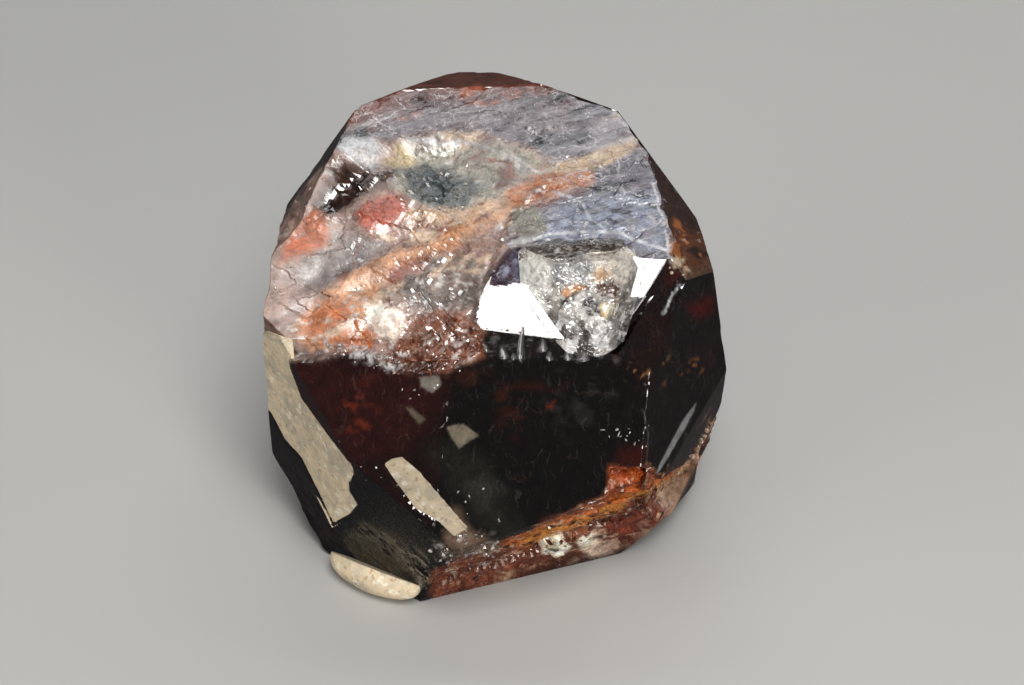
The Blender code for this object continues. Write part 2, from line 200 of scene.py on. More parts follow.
def softNoise(points, size, seed):  # smooth, from -1 to 1, with lumps of about this size
    scaled = points @ noiseTurn / size
    low = np.floor(scaled).astype(np.int64)
    part = scaled - low
    part = part * part * (3 - 2 * part)
    total = np.zeros(len(points))
    for corner in np.ndindex(2, 2, 2):
        share = np.prod(np.where(corner, part, 1 - part), axis=1)
        total += share * hashNumber(low + np.array(corner), seed)
    return total * 2 - 1


def layered(points, size, seed):  # cloudy noise, from about -1 to 1
    return (softNoise(points, size, seed) * 0.55 + softNoise(points, size * 0.47, seed + 1) * 0.35
            + softNoise(points, size * 0.22, seed + 2) * 0.25)


def drawnOut(points, degrees, stretch):  # coordinates that make a pattern long in one compass direction
    turn = math.radians(degrees)
    along = points[:, 0] * math.cos(turn) + points[:, 1] * math.sin(turn)
    across = points[:, 1] * math.cos(turn) - points[:, 0] * math.sin(turn)
    return np.stack([along / stretch, across, points[:, 2]], axis=1)


def cells(points, size, seed):  # nearest cell seed: its offset, its number, and the distance to the border
    scaled = points / size
    low = np.floor(scaled).astype(np.int64)
    nearest = np.full(len(points), 1e9)
    second = np.full(len(points), 1e9)
    offset = np.zeros((len(points), 3))
    number = np.zeros(len(points))
    for step in np.ndindex(3, 3, 3):
        cell = low + np.array(step) - 1
        jitter = np.stack([hashNumber(cell, seed + part) for part in (1, 2, 3)], axis=1)
        away = scaled - cell - jitter
        reach = np.linalg.norm(away, axis=1)
        closer = reach < nearest
        second = np.where(closer, nearest, np.minimum(second, reach))
        nearest = np.where(closer, reach, nearest)
        offset = np.where(closer[:, None], away, offset)
        number = np.where(closer, hashNumber(cell, seed), number)
    return offset, number, second - nearest


def shards(points, size, seed):  # flat tilted facets with small steps between them, about -1 to 1
    offset, number, border = cells(points, size, seed)
    turns = np.stack([number * 7.0, number * 13.0, number * 29.0], axis=1) % 1.0 - 0.5
    return (number - 0.5) * 0.9 + np.sum(offset * turns, axis=1) * 1.6


def ramp(values, low, high):
    share = np.clip((values - low) / (high - low), 0.0, 1.0)
    return share * share * (3 - 2 * share)


# Directions and the layout plane

def lookDirection(azimuth, tilt):
    turn, rise = math.radians(azimuth), math.radians(tilt)
    return np.array([math.cos(rise) * math.sin(turn), -math.cos(rise) * math.cos(turn), math.sin(rise)])


centre = np.array(crystal["centre"])
upPlane = np.array([0.0, math.sin(math.radians(layoutTilt)), math.cos(math.radians(layoutTilt))])
towardsViewer = np.array([0.0, -math.cos(math.radians(layoutTilt)), math.sin(math.radians(layoutTilt))])
faceNormals = np.array([lookDirection(azimuth, tilt) for azimuth, tilt, reach in crystal["faces"].values()])
faceReach = np.array([reach for azimuth, tilt, reach in crystal["faces"].values()])


def laidOut(points):  # x, and height up the layout plane
    return points[:, 0], points @ upPlane


def outward(points):  # directions away from the centre
    arms = points - centre
    return arms / np.linalg.norm(arms, axis=1)[:, None]


frontLimit = -0.12    # the patches that are laid out on the front end a little behind the edge that shows


def facingFront(points):  # 1 towards the viewer, 0 at the edge that shows, below 0 behind it
    return outward(points) @ towardsViewer


def overFaces(points):  # how far each point lies beyond each growth face
    return (points - centre) @ faceNormals.T - faceReach


def isOnFace(points, name):
    index = faceNames.index(name)
    return np.abs((points - centre) @ faceNormals[index] - faceReach[index]) < 0.05


def distanceInside(outline, x, height):  # positive inside the outline, negative outside
    reach = 1.5     # further away than this the distance isn't worked out
    low, high = np.min(outline, axis=0) - reach, np.max(outline, axis=0) + reach
    here = np.flatnonzero((x > low[0]) & (x < high[0]) & (height > low[1]) & (height < high[1]))
    distance = np.full(len(x), -reach)
    x, height = x[here], height[here]
    nearest = np.full(len(x), reach)
    inside = np.zeros(len(x), bool)
    for index in range(len(outline)):
        (ax, ay), (bx, by) = outline[index - 1], outline[index]
        spanX, spanY = bx - ax, by - ay
        crosses = (ay > height) != (by > height)
        if spanY:
            inside ^= crosses & (x < ax + (height - ay) * spanX / spanY)
        along = np.clip(((x - ax) * spanX + (height - ay) * spanY) / (spanX ** 2 + spanY ** 2), 0.0, 1.0)
        nearest = np.minimum(nearest, np.hypot(x - ax - along * spanX, height - ay - along * spanY))
    distance[here] = np.where(inside, nearest, -nearest)
    return distance


# Solids cut from a block

def addObject(name, data):
    item = bpy.data.objects.new(name, data)
    bpy.context.scene.collection.objects.link(item)
    return item


def block(size, middle):
    solid = bmesh.new()
    bmesh.ops.create_cube(solid, size=size)
    bmesh.ops.translate(solid, verts=solid.verts[:], vec=Vector(middle))
    return solid


def sliceOff(solid, point, away):  # cuts away what lies beyond the plane, and closes the cut
    everything = solid.verts[:] + solid.edges[:] + solid.faces[:]
    cut = bmesh.ops.bisect_plane(
        solid, geom=everything, dist=1e-5, plane_co=Vector(point), plane_no=Vector(away), clear_outer=True
    )
    rim = [item for item in cut["geom_cut"] if isinstance(item, bmesh.types.BMEdge)]
    if len(rim) > 2:
        bmesh.ops.contextual_create(solid, geom=rim)
    openEdges = [edge for edge in solid.edges if edge.is_boundary]
    if openEdges:
        bmesh.ops.holes_fill(solid, edges=openEdges, sides=0)


def crystalBlock(offset=0.0):  # the unbroken crystal with every face moved outwards by offset
    solid = block(crystal["blockSize"], centre)
    for away, reach in zip(faceNormals, faceReach):
        sliceOff(solid, centre + away * (reach + offset), away)
    bmesh.ops.remove_doubles(solid, verts=solid.verts[:], dist=0.02)
    return solid


def pointOnFace(name, x, height):
    index = faceNames.index(name)
    start = np.array([x, 0.0, 0.0]) + upPlane * height
    along = (faceReach[index] - (start - centre) @ faceNormals[index]) / (towardsViewer @ faceNormals[index])
    return start + towardsViewer * along


chipMiddle = pointOnFace("bevel", *chip["centre"])


def fromChip(points):
    return np.linalg.norm(points - chipMiddle, axis=1)


def chipCutter(deeper):
    azimuth = math.radians(crystal["faces"]["bevel"][0])
    away = faceNormals[faceNames.index("bevel")]
    rightward = np.array([math.cos(azimuth), math.sin(azimuth), 0.0])
    upward = np.cross(away, rightward)
    solid = block(chip["cutterSize"], chipMiddle + away * chip["cutterSize"] / 4)
    for bearing, steepness, reach in chip["planes"]:
        turn, lean = math.radians(bearing), math.radians(steepness)
        sideways = rightward * math.cos(turn) + upward * math.sin(turn)
        wall = sideways * math.sin(lean) - away * math.cos(lean)
        sliceOff(solid, chipMiddle + sideways * reach + wall * deeper, wall)
    return solid


def grownOutline(outline, gap):  # moved outwards by gap; the points run clockwise seen from the front
    grown = []
    for index in range(len(outline)):
        before, here = Vector(outline[index - 1]), Vector(outline[index])
        after = Vector(outline[(index + 1) % len(outline)])
        first, second = (here - before).normalized(), (after - here).normalized()
        firstNormal, secondNormal = Vector((-first.y, first.x)), Vector((-second.y, second.x))
        middle = (firstNormal + secondNormal).normalized()
        grown.append(tuple(here + middle * gap / max(0.6, middle.dot(firstNormal))))
    return grown


barEnd = 22.0    # beyond the crystal


def prism(outline, start, end):  # a straight bar with this outline, running towards the viewer
    solid = bmesh.new()
    ring = [solid.verts.new(np.array([x, 0, 0]) + upPlane * y + towardsViewer * start) for x, y in outline]
    pushed = bmesh.ops.extrude_face_region(solid, geom=[solid.faces.new(ring)])
    moved = [item for item in pushed["geom"] if isinstance(item, bmesh.types.BMVert)]
    bmesh.ops.translate(solid, verts=moved, vec=Vector(towardsViewer * (end - start)))
    bmesh.ops.recalc_face_normals(solid, faces=solid.faces[:])
    return solid


def evaluatedMesh(item):
    bpy.context.view_layer.update()
    return bpy.data.meshes.new_from_object(item.evaluated_get(bpy.context.evaluated_depsgraph_get()))


def settled(mesh):  # points and faces in a fixed order, so that every run gives one result
    order = sorted(range(len(mesh.vertices)), key=lambda index: mesh.vertices[index].co[:])
    place = {index: position for position, index in enumerate(order)}
    rings = []
    for face in mesh.polygons:
        ring = [place[index] for index in face.vertices]
        first = ring.index(min(ring))
        rings.append(ring[first:] + ring[:first])
    outlines = [frozenset(ring) for ring in rings]
    result = bmesh.new()
    verts = [result.verts.new(mesh.vertices[index].co) for index in order]
    for ring in sorted(rings):
        if outlines.count(frozenset(ring)) == 1:    # two faces back to back have no thickness
            result.faces.new([verts[position] for position in ring])
    return result


def combine(solid, tool, operation):
    items = []
    for name, source in (("workBody", solid), ("workTool", tool)):
        mesh = bpy.data.meshes.new(name)
        bmesh.ops.recalc_face_normals(source, faces=source.faces[:])
        source.to_mesh(mesh)
        source.free()
        items.append(addObject(name, mesh))
    step = items[0].modifiers.new("combine", "BOOLEAN")
    step.operation = operation
    step.solver = "EXACT"
    step.object = items[1]
    mesh = evaluatedMesh(items[0])
    result = settled(mesh)
    bpy.data.meshes.remove(mesh)
    for item in items:
        bpy.data.meshes.remove(item.data)
    bmesh.ops.remove_doubles(result, verts=result.verts[:], dist=0.004)
    bmesh.ops.dissolve_degenerate(result, edges=result.edges[:], dist=0.004)
    return result


# Triangle lists: points and triangles as arrays, split until every edge is short enough

def asTriangles(solid):
    bmesh.ops.triangulate(solid, faces=solid.faces[:])
    bmesh.ops.recalc_face_normals(solid, faces=solid.faces[:])
    solid.verts.index_update()
    points = np.array([vert.co[:] for vert in solid.verts])
    triangles = np.array([[vert.index for vert in face.verts] for face in solid.faces])
    solid.free()
    return points, triangles


def splitOnce(points, triangles, kinds, allowed):
    edges = np.sort(triangles[:, [[0, 1], [1, 2], [2, 0]]].reshape(-1, 2), axis=1)
    unique, back = np.unique(edges, axis=0, return_inverse=True)
    ends = points[unique]
    middle = ends.mean(axis=1)
    length = np.linalg.norm(ends[:, 0] - ends[:, 1], axis=1)
    isLong = length > min(meshSize.values())
    isLong[isLong] = length[isLong] > allowed(middle[isLong])
    if not isLong.any():
        return points, triangles, kinds, False
    made = np.full(len(unique), -1)
    made[isLong] = len(points) + np.arange(isLong.sum())
    points = np.vstack([points, middle[isLong]])
    mids = made[back.reshape(-1)].reshape(-1, 3)
    count = (mids >= 0).sum(axis=1)
    # turn each triangle so that its split edges come first
    first = np.where(count == 1, np.argmax(mids >= 0, axis=1), (np.argmin(mids, axis=1) + 1) % 3)
    order = (first[:, None] + np.arange(3)) % 3
    corner = np.take_along_axis(triangles, order, axis=1)
    mid = np.take_along_axis(mids, order, axis=1)
    a, b, c = corner.T
    p, q, r = mid.T
    one, two, three = count == 1, count == 2, count == 3
    short = np.linalg.norm(points[a] - points[q], axis=1) < np.linalg.norm(points[p] - points[c], axis=1)
    twoA, twoB = two & short, two & ~short
    parts = [
        (count == 0, (a, b, c)),
        (one, (a, p, c)), (one, (p, b, c)),
        (two, (p, b, q)),
        (twoA, (a, p, q)), (twoA, (a, q, c)),
        (twoB, (a, p, c)), (twoB, (p, q, c)),
        (three, (a, p, r)), (three, (p, b, q)), (three, (r, q, c)), (three, (p, q, r)),
    ]
    triangles = np.vstack([np.stack(corners, axis=1)[chosen] for chosen, corners in parts])
    kinds = np.concatenate([kinds[chosen] for chosen, corners in parts])
    return points, triangles, kinds, True


def splitLong(points, triangles, kinds, allowed):
    more = True
    while more:
        points, triangles, kinds, more = splitOnce(points, triangles, kinds, allowed)
    return points, triangles, kinds


def splitEvenly(points, triangles, size):
    kinds = np.zeros(len(triangles), int)
    return splitLong(points, triangles, kinds, lambda middle: np.full(len(middle), size))[:2]


def triangleNormals(points, triangles):
    a, b, c = points[triangles[:, 0]], points[triangles[:, 1]], points[triangles[:, 2]]
    normals = np.cross(b - a, c - a)
    return normals / np.maximum(np.linalg.norm(normals, axis=1), 1e-12)[:, None]


# The broken relief. The large forms are worked out point by point, as the solid part has them

def flatSplinters(point, cell, stretch):
    leaned = Vector((point.x * 0.93 - point.z * 0.36, point.y, point.x * 0.36 + point.z * 0.93))
    scaled = Vector((leaned.x / (cell * stretch), leaned.y / cell, leaned.z / cell))
    seed = noise.voronoi(scaled)[1][0]
    lean = Vector([noise.noise(seed * 3.7 + Vector((shift, 0.0, 0.0))) for shift in (0.0, 31.0, 67.0)])
    return 0.5 + noise.noise(seed * 5.3) * 0.9 + (scaled - seed).dot(lean) * 0.8


def splinterDepths(points, chosen, cell, stretch):
    depths = np.zeros(len(points))
    for index in np.flatnonzero(chosen):
        depths[index] = flatSplinters(Vector(points[index]), cell, stretch)
    return depths


def lumpRise(x, height):
    rise = np.zeros(len(x))
    for middleX, middleHeight, radius, heightOut in relief["lumps"]:
        reach = np.hypot(x - middleX, height - middleHeight) / radius
        rise = np.maximum(rise, heightOut * ramp(1.0 - reach, 0.0, 0.8))
    return rise


def risingBands(x, height):
    across = height - 0.42 * x
    return 0.5 + 0.5 * np.sin(across * 2.1 + np.sin(across * 0.9) * 1.4)


def facets(points, size, seed):  # large flat facets broken up by smaller ones
    return shards(points, size, seed) * 0.7 + shards(points, size * 0.4, seed + 9) * 0.4


def slopeDepth(points):
    x, height = laidOut(points)
    inside = distanceInside(zones["slope"], x, height) + softNoise(points, 0.5, 3) * 0.08
    share = ramp(inside / (1.0 + 2.2 * ramp(height, 13.5, 15.5)), -0.03, 0.3)
    share = share * (facingFront(points) > frontLimit)
    fade = (0.35 + 0.65 * ramp(0.2 - x, 0.0, 3.0)) * (0.3 + 0.7 * ramp(x, -11.6, -9.4))
    depths = relief["slope"]
    depth = depths["base"] + depths["splinters"] * splinterDepths(points, share > 0, *depths["size"])
    depth += depths["bands"] * risingBands(x, height)
    lively = ramp(distanceInside(zones["ledge"], x, height), -0.3, 0.4)
    crisp = np.maximum(lively, ramp(x, -6.0, -3.0) * 0.5)
    drawn = drawnOut(points, 25, 1.5)
    small = shards(drawn, 0.5, 30) * (0.06 + 0.49 * crisp)
    large = shards(drawn, 1.5, 21) * (0.45 + 0.45 * crisp)
    depth += depths["facets"] * (1.0 + 0.6 * lively) * (0.4 + large + small)
    return share * np.maximum(0.0, fade * (depth - lumpRise(x, height)))


def footDepth(points):
    x, height = laidOut(points)
    inside = distanceInside(zones["foot"], x, height) + softNoise(points, 0.4, 5) * 0.08
    share = ramp(inside, -0.03, 0.22) * (facingFront(points) > frontLimit)
    wander = np.zeros(len(points))
    for index in np.flatnonzero(share > 0):
        wander[index] = 0.5 * noise.noise(Vector(points[index]) * 0.5)
    terrace = np.floor((height - 0.35 * x + wander) / 1.4) % 2
    depths = relief["foot"]
    depth = depths["base"] + depths["terraces"] * terrace
    depth += depths["splinters"] * splinterDepths(points, share > 0, *depths["size"])
    depth += depths["facets"] * (0.3 + facets(drawnOut(points, 20, 1.8), 0.8, 33))
    return share * np.maximum(0.0, depth)


def patchShare(points, frayed=0.0):
    directions = outward(points)
    wander = softNoise(points, 2.9, 7) * 4.0 + frayed
    strongest = np.zeros(len(points))
    for azimuth, tilt, radius, depth in relief["roughPatches"]:
        angle = np.degrees(np.arccos(np.clip(directions @ lookDirection(azimuth, tilt), -1, 1)))
        strongest = np.maximum(strongest, depth * ramp(radius - angle + wander, 0.0, 2.5))
    return strongest


def patchDepth(points):
    share = patchShare(points)
    depths = relief["patch"]
    depth = depths["base"] + depths["splinters"] * splinterDepths(points, share > 0, *depths["size"])
    depth += depths["facets"] * facets(points, 1.0, 41)
    return share * np.maximum(0.0, depth)


def steps(pattern):  # a pattern from about -1 to 1, as depths that are never below 0
    return np.clip(0.5 + pattern, 0, 2)


def topRelief(points):  # low growth terraces, crossed by slightly tilted facets
    drawn = drawnOut(points, growthTurn, 2.2)
    x, height = laidOut(points)
    across = height - 0.3 * x + softNoise(points, 2.5, 51) * 0.6
    clouds = ramp(softNoise(points, 1.8, 52), -0.4, 0.4)
    terraces = relief["topTerraces"] * (np.floor(across / 0.8) % 2) * clouds
    tilted = np.clip(0.5 + shards(drawn, 1.0, 53) + 0.3 * shards(drawn, 0.4, 57), 0, 2)
    return terraces + relief["topFacets"] * tilted


def bevelRelief(points):  # two parts of the bevel lean back
    x, height = laidOut(points)
    inside = distanceInside(zones["leanedBevel"], x, height)
    lean = 0.17 * np.clip(height - 10.3, 0.0, 2.0) * ramp(inside, -0.12, 0.12)
    inside = distanceInside(zones["leanedRight"], x, height)
    lean += 0.2 * np.clip(9.9 - height, 0.0, 3.0) * ramp(inside, -0.12, 0.12)
    return lean * isOnFace(points, "bevel")


def growthRelief(points):  # very low terraces on the faces at the sides and back
    away = 1 - ramp(facingFront(points), -0.1, 0.25)
    rows = points[:, 2] + softNoise(points, 2.4, 131) * 0.8
    clouds = ramp(softNoise(points, 2.8, 132), -0.4, 0.4)
    terraces = relief["sideTerraces"] * ramp(np.sin(rows * 2.2), -0.9, 0.9) * clouds
    # more broken at the lower left
    low = ramp(6.0 - points[:, 2], 0.0, 2.5) * ramp(-points[:, 0], 0.0, 2.0)
    broken = steps(facets(points, 1.1, 137))
    waves = relief["sideWaves"] * (0.5 + softNoise(points, 2.2, 133))
    return away * (terraces + waves) + relief["lowBreaks"] * low * broken


def edgeChips(points):  # small bites out of the sharp edges
    gaps = np.sort(np.abs(overFaces(points)), axis=1)
    nearEdge = ramp(0.2 - gaps[:, 1], 0.0, 0.2)
    bites = ramp(layered(points, 0.7, 55), 0.12, 0.4)
    x, height = laidOut(points)
    nearBevel = (x > -2.0) & (x < 8.8) & (height > 6.4) & (height < 12.2)
    return relief["edgeChips"] * nearEdge * bites * ~nearBevel


def brokenDepth(points):
    depth = np.maximum(patchDepth(points), np.maximum(slopeDepth(points), footDepth(points)))
    return depth * ramp(points[:, 2], 0.0, 0.6)


# Feldspar remnants: where they lie, and how they are set in

feldspar = {
    "leftBand": [
        (-11.2, 8.1), (-10.1, 7.7), (-10.0, 6.4), (-9.5, 4.9), (-8.1, 3.0), (-6.9, 1.5), (-6.9, 1.1),
        (-7.2, 0.6), (-7.2, 0.2), (-6.8, -0.5), (-7.3, -1.1), (-8.3, -1.7), (-8.8, -0.6), (-9.9, 1.7),
        (-10.8, 2.7), (-11.4, 4.0), (-12.6, 5.3), (-12.6, 7.2),
    ],
    "frontBand": [
        (-5.5, 1.7), (-5.0, 2.0), (-4.5, 2.1), (-3.6, 1.3), (-2.4, -0.1), (-1.2, -1.5), (-1.9, -2.0),
        (-2.8, -1.2), (-3.9, -0.6), (-4.7, 0.5),
    ],
    "leftStart": 5.5,
    "frontStart": 8.5,
    "leftBandBack": -2.7,
    "thickness": 0.8,
    "overlap": 0.12,        # grown over the crystal to close the gap that the solids keep
    "rounding": 0.14,
    "meshSize": 0.2,
    "footMeshSize": 0.22,
    "footCentre": (-6.15, -7.9, 1.25),
    "footHalfSize": (2.75, 1.15, 1.2),
    "footTurn": -31.0,
    "footTopEdge": [(-8.5, -3.1), (-3.7, -4.8)],
    "footClearance": 0.12,
}


def bandBar(outline, start, gap):
    bar = prism(grownOutline(outline, gap), start - gap, barEnd)
    sliceOff(bar, (0.0, feldspar["leftBandBack"] + gap, 0.0), (0.0, 1.0, 0.0))
    return bar


def footLens(extra):
    solid = bmesh.new()
    bmesh.ops.create_icosphere(solid, subdivisions=4, radius=1.0)
    turn = math.radians(feldspar["footTurn"])
    half = Vector(feldspar["footHalfSize"]) + Vector((extra, extra, extra))
    for vert in solid.verts:
        local = Vector([a * b for a, b in zip(vert.co.normalized(), half)])
        x = local.x * math.cos(turn) - local.y * math.sin(turn)
        y = local.x * math.sin(turn) + local.y * math.cos(turn)
        vert.co = Vector(feldspar["footCentre"]) + Vector((x, y, local.z))
    start, end = Vector(feldspar["footTopEdge"][0]), Vector(feldspar["footTopEdge"][1])
    run = (end - start).normalized()
    above = np.array([-run.y, 0.0, 0.0]) + upPlane * run.x
    sliceOff(solid, np.array([start.x, 0.0, 0.0]) + upPlane * start.y + above * extra, above)
    return solid


def bandMoat(points):  # the crystal sinks a little under the bands, so that they lie on top
    x, height = laidOut(points)
    left = distanceInside(feldspar["leftBand"], x, height)
    front = distanceInside(feldspar["frontBand"], x, height)
    shown = (facingFront(points) > -0.3) & (points[:, 1] < feldspar["leftBandBack"] + 0.3)
    return 0.22 * ramp(np.maximum(left, front), 0.0, 0.2) * shown


